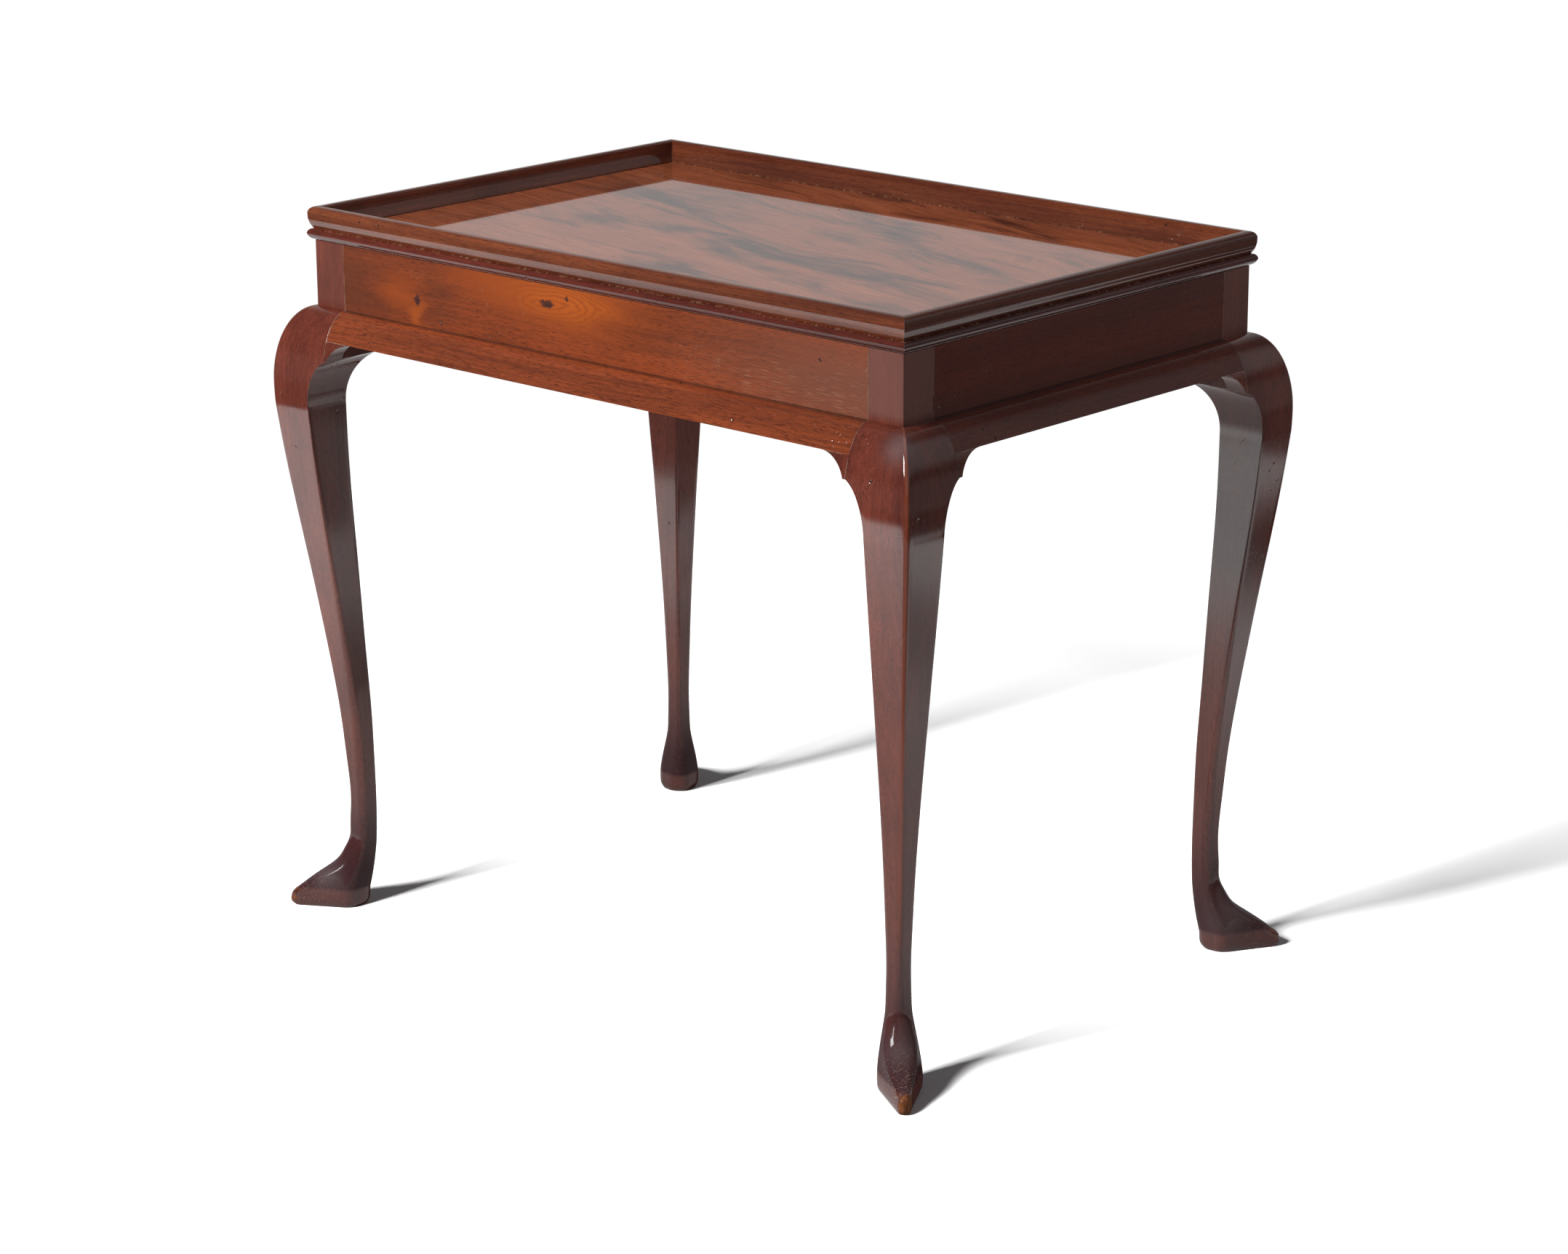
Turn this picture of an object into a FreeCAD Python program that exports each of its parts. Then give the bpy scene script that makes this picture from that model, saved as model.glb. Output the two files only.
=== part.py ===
import FreeCAD, Part
import math
import os

Vector = FreeCAD.Vector

# A tray top tea table: a mitred tray on a frieze that is tenoned into four cabriole legs.
# X runs along the long side, the front faces -Y, Z is up and the feet stand at zero.
# All lengths are millimetres.

# Frame, over the outer faces of the frieze
frame_length = 746.0
frame_depth = 496.0
frieze_height = 64.0

# Post at the head of each leg, flush with the frieze
leg_height = 614.5
post_size = 39.5
post_arris = 1.2
eased_arris = 0.4
arris_point_count = 4

# Knee: a quarter ellipse that swells out below the post
knee_reach = 33.0
knee_drop = 73.5
knee_size = 49.7
knee_arris = 2.5

# Flare of the leg's inner faces, from the shank up to the post's inner faces
flare_drop = 94.5
flare_rise = 48.0
flare_turn_degrees = 72.0
flare_reach_share = 0.985
flare_steps = 5
knee_steps = 5

# Ankle, the thinnest place of the shank
ankle_height = 106.0
ankle_size = 20.9
ankle_setback = 9.1
ankle_arris = 4.0
ankle_side_arris = 8.3

# Pointed slipper foot, measured along and across the leg's diagonal
sole_height = 15.0
sole_undercut = 4.0
toe_reach = 49.0
toe_round = 5.6
foot_middle = -12.0
foot_half_width = 22.4
heel_point = -39.5
heel_round = 14.0

# Shank from the ankle up to the flare: height, outward, thickness and side arris, as shares of the climb
shank_shares = (
    (0.11, 0.04, 0.04, 0.08),
    (0.23, 0.12, 0.12, 0.19),
    (0.37, 0.26, 0.24, 0.41),
    (0.62, 0.56, 0.53, 0.68),
    (0.87, 0.87, 0.84, 0.92),
)
# Instep from the top of the sole band up to the ankle: height, toe, width, middle and rounding
instep_shares = (
    (0.00, 0.95, 1.00, 1.00, 1.00),
    (0.06, 0.83, 0.96, 0.91, 0.93),
    (0.14, 0.67, 0.82, 0.74, 0.78),
    (0.25, 0.43, 0.58, 0.52, 0.58),
    (0.39, 0.20, 0.32, 0.29, 0.36),
    (0.55, 0.07, 0.13, 0.12, 0.16),
    (0.74, 0.02, 0.03, 0.03, 0.05),
    (1.00, 0.00, 0.00, 0.00, 0.00),
)
# Sole band: height, toe drawn in and edge drawn in, as shares of the undercut
sole_shares = (
    (0.0, 0.90, 1.00),
    (0.2, 0.10, 0.45),
    (0.6, 0.00, 0.07),
)

# Frieze rails and their mitred tenons
rail_thickness = 25.0
moulding_height = 26.0
tenon_setback = 9.0
tenon_thickness = 8.0
tenon_foot = 10.0
tenon_haunch = 14.0
mitre_gap = 1.0
mortise_clearance = 0.1
mortise_gap = 1.0

# Knee blocks, under the cushion moulding beside each knee
block_length = 33.0
block_toe = 3.0
block_back = 9.5
block_hollow_length_share = 0.25
block_hollow_height_share = 0.55

# Tray edge, an astragal that frames the board
edge_height = 11.3
edge_reach = 5.5
edge_tuck = 1.5
edge_low_reach_share = 0.65
edge_low_height_share = 0.24
edge_nose_height_share = 0.575
edge_high_reach_share = 0.74
edge_high_height_share = 0.87

# Tray rim, a thumb moulding with a hollow inner face
rim_height = 21.2
rim_reach = 4.6
rim_inset = 12.0
groove_reach = 0.5
lip_inset = 6.3
rim_low_reach_share = 0.71
rim_low_height_share = 0.25
rim_nose_height_share = 0.65
rim_high_reach_share = 0.72
rim_high_height_share = 0.885
crest_outer_share = 0.20
crest_inner_share = 0.62
lip_crown_share = 0.91
lip_crown_height_share = 0.965
lip_height_share = 0.88
hollow_inset_share = 0.22
hollow_height_share = 0.45
hollow_foot_share = 0.05
board_gap = 0.2

# Glue blocks in the angle under the board
glue_block_side = 16.0
glue_block_length = 60.0
glue_block_long_shares = (-0.41, 0.0, 0.41)
glue_block_short_shares = (-0.3, 0.3)

# Pocket screws that hold the board to the long rails
screw_radius = 2.2
screw_head_radius = 4.2
screw_head_height = 3.0
screw_run = 20.0
screw_bite = 8.0
screw_exit_depth = 17.5
screw_tilt_degrees = 10.0
screw_clearance = 0.1
pocket_radius = 6.5
pocket_length = 64.0
screw_long_shares = (-0.2, 0.2)
screw_short_shares = ()

# How far a cutting tool runs past what it cuts
overrun = 5.0

# Heights and places that follow from the sizes above
root_two = math.sqrt(2)
rail_top = leg_height + frieze_height
rail_bottom = leg_height - moulding_height
knee_height = leg_height - knee_drop
flare_foot = leg_height - flare_drop
flare_head = flare_foot + flare_rise
flare_turn = math.radians(flare_turn_degrees)
knee_out_at_flare = knee_reach * flare_reach_share
knee_inset = knee_size - knee_out_at_flare
ankle_inner = -(ankle_setback + ankle_size) * root_two
ankle_middle = ankle_inner / 2 - ankle_setback / root_two
ankle_tip = -ankle_setback * root_two - ankle_arris * (root_two - 1)
ankle_half_width = ankle_size / root_two
tray_floor = rail_top + edge_height
tray_top = tray_floor + rim_height
tenon_low = rail_bottom + tenon_foot
tenon_high = rail_top - tenon_haunch
tenon_back = tenon_setback + tenon_thickness
screw_tilt = math.radians(screw_tilt_degrees)


def between(low, high, share):
    """The value at a share of the way from low to high."""
    return low + (high - low) * share


def rounded_wire(points, radii):
    """Closed wire of straight sides, with each corner rounded by a few flats along an arc."""
    count = len(points)
    outline = []
    for k in range(count):
        corner = points[k]
        back = points[k - 1] - corner
        ahead = points[(k + 1) % count] - corner
        back.normalize()
        ahead.normalize()
        half_angle = back.getAngle(ahead) / 2
        inward = back + ahead
        inward.normalize()
        run = radii[k] / math.tan(half_angle)
        crown = radii[k] / math.sin(half_angle) - radii[k]
        arc = Part.Arc(corner + back * run, corner + inward * crown, corner + ahead * run).toShape()
        outline.extend(arc.discretize(Number=arris_point_count))
    return Part.makePolygon(outline + outline[:1])


def kite_section(height, outer, middle, half_width, inner, rounds):
    """Leg section with corners on the diagonal at outer and inner, and across it at half_width."""
    outer_round, side_round, inner_round = rounds
    corners = ((outer, 0), (middle, half_width), (inner, 0), (middle, -half_width))
    points = [Vector((along - side) / root_two, (along + side) / root_two, height)
              for along, side in corners]
    return rounded_wire(points, (outer_round, side_round, inner_round, side_round))


def square_section(height, out, inset, rounds):
    """Square leg section: faces stand out past the post's outer faces, and inset behind them."""
    return kite_section(height, out * root_two, (out - inset) / root_two, (out + inset) / root_two,
                        -inset * root_two, rounds)


def sharp_toe(tip, middle, half_width, tip_round):
    """Where the straight sides of a kite meet, so that its rounded toe ends at the tip."""
    slope = tip_round / half_width
    reach = tip - tip_round - middle
    root = math.sqrt((slope * reach) ** 2 + (1 - slope ** 2) * tip_round ** 2)
    return middle + (reach + root) / (1 - slope ** 2)


def foot_section(height, tip, heel, half_width, middle, share):
    """Foot section, with its roundings at a share of the way from the ankle's to the foot's."""
    tip_round = between(ankle_arris, toe_round, share)
    side_round = between(ankle_side_arris, heel_round, share)
    heel_arris = between(ankle_arris, heel_round, share)
    return kite_section(height, sharp_toe(tip, middle, half_width, tip_round), middle, half_width, heel,
                        (tip_round, side_round, heel_arris))


def sole_sections():
    """Sections of the band round the sole, drawn in towards the floor."""
    sections = []
    for height_share, toe_share, edge_share in sole_shares:
        tip = toe_reach - sole_undercut * toe_share
        draw = sole_undercut * edge_share
        sections.append(foot_section(sole_height * height_share, tip, heel_point + draw,
                                     foot_half_width - draw, foot_middle, 1))
    return sections


def instep_sections():
    """Sections of the slipper's top, from the sole band up to the ankle."""
    sections = []
    for height_share, toe_share, width_share, middle_share, round_share in instep_shares:
        sections.append(foot_section(between(sole_height, ankle_height, height_share),
                                     between(ankle_tip, toe_reach, toe_share),
                                     between(ankle_inner, heel_point, round_share),
                                     between(ankle_half_width, foot_half_width, width_share),
                                     between(ankle_middle, foot_middle, middle_share),
                                     round_share))
    return sections


def shank_sections():
    """Sections of the shank above the ankle, growing and leaning out to the knee."""
    sections = []
    for height_share, out_share, size_share, side_share in shank_shares:
        out = between(-ankle_setback, knee_out_at_flare, out_share)
        size = between(ankle_size, knee_size, size_share)
        rounds = (between(ankle_arris, knee_arris, height_share),
                  between(ankle_side_arris, eased_arris, side_share),
                  between(ankle_arris, eased_arris, height_share))
        sections.append(square_section(between(ankle_height, flare_foot, height_share),
                                       out, size - out, rounds))
    return sections


def knee_out(height):
    """How far the knee's faces stand past the post's faces: an ellipse above, a slow fall below."""
    rise = height - knee_height
    if rise < 0:
        fall = rise / (flare_foot - knee_height)
        return between(knee_reach, knee_out_at_flare, fall ** 2)
    return knee_reach * math.sqrt(max(0, 1 - (rise / knee_drop) ** 2))


def flare_sections():
    """Sections whose inner faces sweep along part of an ellipse out to the post's inner faces."""
    sections = []
    for step in range(flare_steps + 1):
        turn = flare_turn * step / flare_steps
        height = flare_foot + flare_rise * math.sin(turn) / math.sin(flare_turn)
        sweep_share = (1 - math.cos(turn)) / (1 - math.cos(flare_turn))
        inset = between(knee_inset, post_size, sweep_share)
        rounds = (knee_arris, eased_arris, eased_arris)
        sections.append(square_section(height, knee_out(height), inset, rounds))
    return sections


def knee_sections():
    """Sections of the knee's head, closing in along the ellipse to the post's own section."""
    start = math.asin((flare_head - knee_height) / knee_drop)
    sections = []
    for step in range(knee_steps + 1):
        share = step / knee_steps
        turn = between(start, math.pi / 2, share)
        height = knee_height + knee_drop * math.sin(turn)
        rounds = (between(knee_arris, post_arris, share), eased_arris, eased_arris)
        sections.append(square_section(height, knee_reach * math.cos(turn), post_size, rounds))
    return sections


def box(low_x, high_x, low_y, high_y, low_z, high_z):
    """Box between two corners."""
    return Part.makeBox(high_x - low_x, high_y - low_y, high_z - low_z, Vector(low_x, low_y, low_z))


def prism(points, run):
    """Solid of a closed outline carried along a vector."""
    return Part.Face(Part.makePolygon(points + points[:1])).extrude(run)


def mortises():
    """The two mortises of a post, which meet behind the mitred tenons."""
    deep = -(tenon_setback - mortise_gap)
    mouth = -(post_size + overrun)
    near = -(tenon_setback - mortise_clearance)
    far = -(tenon_back + mortise_clearance)
    low = tenon_low - mortise_clearance
    high = tenon_high + mortise_clearance
    return [box(mouth, deep, far, near, low, high), box(far, near, mouth, deep, low, high)]


def make_leg():
    """One leg at the corner where its post's outer faces meet at X = 0 and Y = 0."""
    knee = knee_sections()
    sections = sole_sections() + instep_sections() + shank_sections() + flare_sections() + knee[1:]
    solid, ruled = True, True
    carved = Part.makeLoft(sections, solid, ruled)
    post = Part.Face(knee[-1]).extrude(Vector(0, 0, frieze_height))
    return carved.fuse(post).cut(mortises())


def at_corner(shape, right, back):
    """Turn a leg to its corner of the frame."""
    quarter_turns = {(True, True): 0, (False, True): 90, (False, False): 180, (True, False): 270}
    placed = shape.copy()
    placed.rotate(Vector(0, 0, 0), Vector(0, 0, 1), quarter_turns[(right, back)])
    placed.translate(Vector(frame_length / 2 if right else -frame_length / 2,
                            frame_depth / 2 if back else -frame_depth / 2, 0))
    return placed


side_turns = {"front": 0, "right": 90, "back": 180, "left": 270}
side_length = {"front": frame_length, "back": frame_length, "left": frame_depth, "right": frame_depth}


def at_side(shape, side):
    """Turn a piece made for the front, with the frieze face at Y = 0 and -Y outwards, to its side."""
    placed = shape.copy()
    placed.rotate(Vector(0, 0, 0), Vector(0, 0, 1), side_turns[side])
    reach = (frame_depth if side_length[side] == frame_length else frame_length) / 2
    turn = math.radians(side_turns[side])
    placed.translate(Vector(math.sin(turn), -math.cos(turn), 0) * reach)
    return placed


def screw_axis():
    """The screw's direction, up through the rail and outwards into the board."""
    return Vector(0, -math.sin(screw_tilt), math.cos(screw_tilt))


def screw_seat(along):
    """Centre of a screw head's seat at the bottom of its pocket."""
    return Vector(along, screw_exit_depth, rail_top) - screw_axis() * screw_run


def rod(start, length, radius):
    """Round bar along the screw's axis."""
    return Part.makeCylinder(radius, length, start, screw_axis())


def clear_length(length):
    """Length of a side between the posts."""
    return length - post_size * 2


def places_along(length, long_shares, short_shares):
    """Places along a side of this length, as shares of its clear length."""
    shares = long_shares if length == frame_length else short_shares
    return [clear_length(length) * share for share in shares]


def screw_places(length):
    """Where the pocket screws stand along a side."""
    return places_along(length, screw_long_shares, screw_short_shares)


def make_rail(length):
    """Frieze rail with a mitred tenon at each end and gouged pockets on its inner face."""
    half = clear_length(length) / 2
    rail = box(-half, half, 0, rail_thickness, rail_bottom, rail_top)
    for end in (-1, 1):
        near = (length / 2 - tenon_setback - mitre_gap) * end
        far = (length / 2 - tenon_back - mitre_gap) * end
        outline = [Vector(half * end, tenon_setback, tenon_low), Vector(near, tenon_setback, tenon_low),
                   Vector(far, tenon_back, tenon_low), Vector(half * end, tenon_back, tenon_low)]
        rail = rail.fuse(prism(outline, Vector(0, 0, tenon_high - tenon_low)))
    for along in screw_places(length):
        seat = screw_seat(along)
        rail = rail.cut(rod(seat, screw_run + overrun, screw_radius + screw_clearance))
        rail = rail.cut(rod(seat - screw_axis() * pocket_length, pocket_length, pocket_radius))
    return rail.removeSplitter()


def cushion_face(along, low):
    """Cushion profile across the side: the knee's ellipse down to low, flat below and behind."""
    ellipse = Part.Ellipse(Vector(along, 0, leg_height), Vector(along, -knee_reach, knee_height),
                           Vector(along, 0, knee_height))
    head = Vector(along, 0, leg_height)
    foot = Vector(along, -knee_out(low), low)
    curve = Part.ArcOfEllipse(ellipse, ellipse.parameter(head), ellipse.parameter(foot)).toShape()
    behind = Vector(along, 0, low)
    sides = [Part.LineSegment(foot, behind).toShape(), Part.LineSegment(behind, head).toShape()]
    return Part.Face(Part.Wire([curve] + sides))


def make_moulding(length):
    """Cushion moulding planted on the foot of the rail, between the knees."""
    half = clear_length(length) / 2
    return cushion_face(-half, rail_bottom).extrude(Vector(half * 2, 0, 0))


def make_knee_block(length, end):
    """Block under the moulding at one end of a side: the knee's face in front, a hollow below."""
    root = clear_length(length) / 2 * end
    toe = root - block_toe * end
    tip = root - block_length * end
    hollow = Vector(between(toe, tip, block_hollow_length_share), 0,
                    between(flare_head, rail_bottom, block_hollow_height_share))
    corners = [Vector(tip, 0, rail_bottom), Vector(root, 0, rail_bottom),
               Vector(root, 0, flare_head), Vector(toe, 0, flare_head)]
    edges = [Part.LineSegment(corners[k], corners[k + 1]).toShape() for k in range(len(corners) - 1)]
    edges.append(Part.Arc(corners[-1], hollow, corners[0]).toShape())
    outline = Part.Face(Part.Wire(edges))
    blank = outline.extrude(Vector(0, -(knee_reach + overrun), 0))
    low = min(root, tip) - overrun
    knee = cushion_face(low, flare_head - overrun).extrude(Vector(block_length + overrun * 2, 0, 0))
    behind = box(low, low + block_length + overrun * 2, -block_back, overrun, flare_head - overrun,
                 leg_height + overrun)
    return blank.common(knee).cut(behind)


def outline_face(steps):
    """Face across a side from steps of (outward, height): an arc where a step gives its crown first."""
    edges = []
    last = steps[0][-1]
    for step in steps[1:] + steps[:1]:
        points = [Vector(0, -out, height) for out, height in (last,) + step]
        maker = Part.Arc if len(points) == 3 else Part.LineSegment
        edges.append(maker(*points).toShape())
        last = step[-1]
    return Part.Face(Part.Wire(edges))


def edge_profile():
    """Astragal profile: a long under slope, a round nose and a shorter slope up to the groove."""
    return outline_face([
        ((-rim_inset, rail_top),),
        ((-edge_tuck, rail_top),),
        ((edge_reach * edge_low_reach_share, rail_top + edge_height * edge_low_height_share),
         (edge_reach, rail_top + edge_height * edge_nose_height_share)),
        ((edge_reach * edge_high_reach_share, rail_top + edge_height * edge_high_height_share),
         (groove_reach, tray_floor)),
        ((-rim_inset, tray_floor),),
    ])


def rim_profile():
    """Thumb profile: swelling outer face, narrow crest, rounded lip and a hollow inner face."""
    def up(share):
        return tray_floor + rim_height * share
    return outline_face([
        ((-rim_inset, tray_floor),),
        ((groove_reach, tray_floor),),
        ((rim_reach * rim_low_reach_share, up(rim_low_height_share)),
         (rim_reach, up(rim_nose_height_share))),
        ((rim_reach * rim_high_reach_share, up(rim_high_height_share)),
         (-rim_reach * crest_outer_share, tray_top)),
        ((-lip_inset * crest_inner_share, tray_top),),
        ((-lip_inset * lip_crown_share, up(lip_crown_height_share)), (-lip_inset, up(lip_height_share))),
        ((-between(lip_inset, rim_inset, hollow_inset_share), up(hollow_height_share)),
         (-rim_inset, up(hollow_foot_share))),
    ])


def make_mitred(face, length):
    """Moulding of one profile along a side, mitred where it meets its neighbours."""
    run = length / 2 + rim_reach + edge_reach + overrun
    bar = face.copy()
    bar.translate(Vector(-run, 0, 0))
    bar = bar.extrude(Vector(run * 2, 0, 0))
    inner = rim_inset + overrun
    outer = edge_reach + overrun
    low = rail_top - overrun
    inner_half = length / 2 - inner
    outer_half = length / 2 + outer
    outline = [Vector(-inner_half, inner, low), Vector(inner_half, inner, low),
               Vector(outer_half, -outer, low), Vector(-outer_half, -outer, low)]
    return bar.common(prism(outline, Vector(0, 0, tray_top + overrun - low)))


def make_board():
    """Tray board inside the edge moulding, with a pilot hole over each pocket screw."""
    half_x = frame_length / 2 - rim_inset - board_gap
    half_y = frame_depth / 2 - rim_inset - board_gap
    board = box(-half_x, half_x, -half_y, half_y, rail_top, tray_floor)
    for side, length in side_length.items():
        for along in screw_places(length):
            pilot = rod(screw_seat(along), screw_run + screw_bite + screw_clearance,
                        screw_radius + screw_clearance)
            board = board.cut(at_side(pilot, side))
    return board


def make_screws():
    """Pocket screws, each with its head on the bottom of its pocket."""
    screws = []
    for side, length in side_length.items():
        for along in screw_places(length):
            seat = screw_seat(along)
            head = rod(seat - screw_axis() * screw_head_height, screw_head_height, screw_head_radius)
            shank = rod(seat, screw_run + screw_bite, screw_radius)
            screws.append(at_side(head.fuse(shank), side))
    return Part.makeCompound(screws)


def make_glue_blocks():
    """Three-cornered blocks rubbed into the angle between the rails and the board."""
    blocks = []
    for side, length in side_length.items():
        for along in places_along(length, glue_block_long_shares, glue_block_short_shares):
            start = along - glue_block_length / 2
            outline = [Vector(start, rail_thickness, rail_top),
                       Vector(start, rail_thickness + glue_block_side, rail_top),
                       Vector(start, rail_thickness, rail_top - glue_block_side)]
            blocks.append(at_side(prism(outline, Vector(glue_block_length, 0, 0)), side))
    return Part.makeCompound(blocks)


def make_parts():
    """Every piece of the table by its name."""
    parts = {}
    leg = make_leg()
    for right in (False, True):
        for back in (False, True):
            name = f"{'back' if back else 'front'}_{'right' if right else 'left'}"
            parts[f"leg_{name}"] = at_corner(leg, right, back)
    block_ends = {"front": ("front_left", "front_right"), "right": ("front_right", "back_right"),
                  "back": ("back_right", "back_left"), "left": ("back_left", "front_left")}
    for side, length in side_length.items():
        run = "long" if length == frame_length else "short"
        parts[f"frieze_rail_{side}"] = at_side(make_rail(length), side)
        parts[f"cushion_moulding_{side}"] = at_side(make_moulding(length), side)
        parts[f"tray_edge_{side}"] = at_side(make_mitred(edge_profile(), length), side)
        parts[f"tray_rim_{side}"] = at_side(make_mitred(rim_profile(), length), side)
        for end, corner in zip((-1, 1), block_ends[side]):
            parts[f"knee_block_{corner}_{run}"] = at_side(make_knee_block(length, end), side)
    parts["tray_board"] = make_board()
    parts["glue_blocks"] = make_glue_blocks()
    parts["pocket_screws"] = make_screws()
    return parts


os.makedirs("parts", exist_ok=True)
for name, shape in make_parts().items():
    shape.exportStep(f"parts/{name}.step")
    print(name, "valid" if shape.isValid() else "NOT VALID", len(shape.Solids), round(shape.Volume))
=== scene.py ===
"""Dress the tray top tea table in Blender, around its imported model.

The legs, cushion mouldings, knee blocks, tray edges and tray rims are smooth surfaces worked out with numpy.
The frieze rails, tray board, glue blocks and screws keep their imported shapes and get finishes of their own.
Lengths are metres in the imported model's frame: X along the long side, -Y to the front, Z up from the floor.
"""

import logging
import math
from dataclasses import dataclass
from enum import Enum

import bpy
import numpy as np
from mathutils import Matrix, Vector

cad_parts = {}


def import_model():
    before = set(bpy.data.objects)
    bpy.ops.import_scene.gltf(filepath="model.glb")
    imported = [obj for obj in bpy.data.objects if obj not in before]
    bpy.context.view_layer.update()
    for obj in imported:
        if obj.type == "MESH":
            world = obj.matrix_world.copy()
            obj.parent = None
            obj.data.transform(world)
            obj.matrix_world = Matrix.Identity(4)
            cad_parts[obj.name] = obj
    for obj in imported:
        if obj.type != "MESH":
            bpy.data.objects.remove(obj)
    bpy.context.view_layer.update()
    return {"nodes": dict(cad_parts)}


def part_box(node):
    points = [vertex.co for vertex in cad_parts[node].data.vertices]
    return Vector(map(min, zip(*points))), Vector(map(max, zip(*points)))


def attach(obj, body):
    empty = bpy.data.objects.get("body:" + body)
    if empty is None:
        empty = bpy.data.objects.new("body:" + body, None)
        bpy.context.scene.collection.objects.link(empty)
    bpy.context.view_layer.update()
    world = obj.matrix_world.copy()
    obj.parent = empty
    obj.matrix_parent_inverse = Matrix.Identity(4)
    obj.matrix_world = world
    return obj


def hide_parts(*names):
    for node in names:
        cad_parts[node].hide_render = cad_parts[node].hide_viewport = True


LOG = logging.getLogger("tea_table")
ROOT_TWO = math.sqrt(2)
SHARP_ANGLE = math.radians(32)
FAR = 1.0  # a distance at which no joint shows
Triple = tuple[float, float, float]
Colour = Triple
Level = float | np.ndarray
Socket = bpy.types.NodeSocket


class Side(Enum):
    """A side of the table, with its quarter turns from the front."""

    FRONT = 0
    RIGHT = 1
    BACK = 2
    LEFT = 3

    @property
    def label(self) -> str:
        """The side's name in piece names."""
        return self.name.lower()

    @property
    def is_long(self) -> bool:
        """Whether the side runs along X."""
        return self.value % 2 == 0


class Corner(Enum):
    """A corner of the table, with its quarter turns from the back right one."""

    BACK_RIGHT = 0
    BACK_LEFT = 1
    FRONT_LEFT = 2
    FRONT_RIGHT = 3

    @property
    def label(self) -> str:
        """The corner's name in piece names."""
        return self.name.lower()


class Slot(Enum):
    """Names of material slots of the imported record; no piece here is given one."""

    LEG = "leg_mahogany"
    MOULDING = "moulding_mahogany"
    RIM = "rim_mahogany"


def quarter_turned(points: np.ndarray, turns: int) -> np.ndarray:
    """Turn points about the Z axis by quarter turns.

    Args:
        points: An array of X, Y, Z rows.
        turns: The number of quarter turns, counter-clockwise from above.

    Returns:
        The turned points.
    """
    angle = turns * math.pi / 2
    cosine, sine = round(math.cos(angle)), round(math.sin(angle))
    turned = points.copy()
    turned[..., 0] = points[..., 0] * cosine - points[..., 1] * sine
    turned[..., 1] = points[..., 0] * sine + points[..., 1] * cosine
    return turned


def blend(low: Level, high: Level, share: Level) -> Level:
    """Return the value at a share of the way from low to high."""
    return low + (high - low) * share


def bell(away: np.ndarray) -> np.ndarray:
    """Return a bell curve, one at no distance and falling as the square of the distance in the exponent."""
    return np.exp(-away ** 2 / 2)


def cubic_through(keys: np.ndarray, values: np.ndarray, at: np.ndarray) -> np.ndarray:
    """Interpolate with a natural cubic spline, whose second derivative runs straight from key to key.

    Args:
        keys: Rising places of the known rows.
        values: One row of values for each key.
        at: Places to work out.

    Returns:
        One row of values for each place.
    """
    step = np.diff(keys)
    chord = np.diff(values, axis=0) / step[:, None]
    count = len(keys)
    inner = np.arange(1, count - 1)
    matrix = np.eye(count)
    matrix[inner, inner - 1] = step[:-1]
    matrix[inner, inner] = 2 * (step[:-1] + step[1:])
    matrix[inner, inner + 1] = step[1:]
    right = np.zeros_like(values)
    right[1:-1] = 6 * np.diff(chord, axis=0)
    bend = np.linalg.solve(matrix, right)
    span = np.clip(np.searchsorted(keys, at, side="right") - 1, 0, count - 2)
    width = step[span][:, None]
    back = (keys[span + 1] - at)[:, None] / width
    ahead = 1 - back
    curve = (back ** 3 - back) * bend[span] + (ahead ** 3 - ahead) * bend[span + 1]
    return back * values[span] + ahead * values[span + 1] + curve * width ** 2 / 6


def arc_through(start: np.ndarray, crown: np.ndarray, end: np.ndarray, count: int) -> np.ndarray:
    """Points along the circle through three points: its centre is equally far from all of them.

    Args:
        start: First point.
        crown: A point between the ends.
        end: Last point.
        count: Number of points.

    Returns:
        The points from start to end.
    """
    rows = np.array([crown - start, end - start])
    half = np.array([crown @ crown - start @ start, end @ end - start @ start]) / 2
    centre = np.linalg.solve(rows, half)
    angles = np.unwrap([math.atan2(*(point - centre)[::-1]) for point in (start, crown, end)])
    turn = np.linspace(angles[0], angles[2], count)
    radius = np.linalg.norm(start - centre)
    return centre + radius * np.stack([np.cos(turn), np.sin(turn)], axis=-1)


def counter_clockwise(outline: np.ndarray) -> np.ndarray:
    """Put a closed outline in counter-clockwise order, by the sign of its shoelace area.

    Args:
        outline: Points of the outline.

    Returns:
        The points, in the other order where they ran clockwise.
    """
    ahead = np.roll(outline, -1, axis=0)
    area = np.sum(outline[:, 0] * ahead[:, 1] - ahead[:, 0] * outline[:, 1])
    return outline if area > 0 else outline[::-1]


def upright_grain(points: np.ndarray) -> np.ndarray:
    """Return grain coordinates whose X runs up a piece: Z, X and Y of its points."""
    return np.stack([points[..., 2], points[..., 0], points[..., 1]], axis=-1)


def tube_faces(rows: int, columns: int) -> list[list[int]]:
    """Faces of a tube of closed rings, capped at both ends.

    Args:
        rows: Number of rings.
        columns: Points in each ring.

    Returns:
        Quads between the rings, then the first and last ring as caps, all facing outwards.
    """
    row = np.arange(rows - 1)[:, None] * columns
    column = np.arange(columns)[None, :]
    ahead = (column + 1) % columns
    quads = np.stack([row + column, row + ahead, row + columns + ahead, row + columns + column], axis=-1)
    last = (rows - 1) * columns
    caps = [list(range(columns - 1, -1, -1)), list(range(last, last + columns))]
    return quads.reshape(-1, 4).tolist() + caps


def add_object(name: str, data: bpy.types.ID) -> bpy.types.Object:
    """Put an object with these data into the scene, at the origin.

    Args:
        name: Name of the object.
        data: Its mesh, camera or lamp.

    Returns:
        The object.
    """
    thing = bpy.data.objects.new(name, data)
    bpy.context.scene.collection.objects.link(thing)
    return thing


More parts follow.
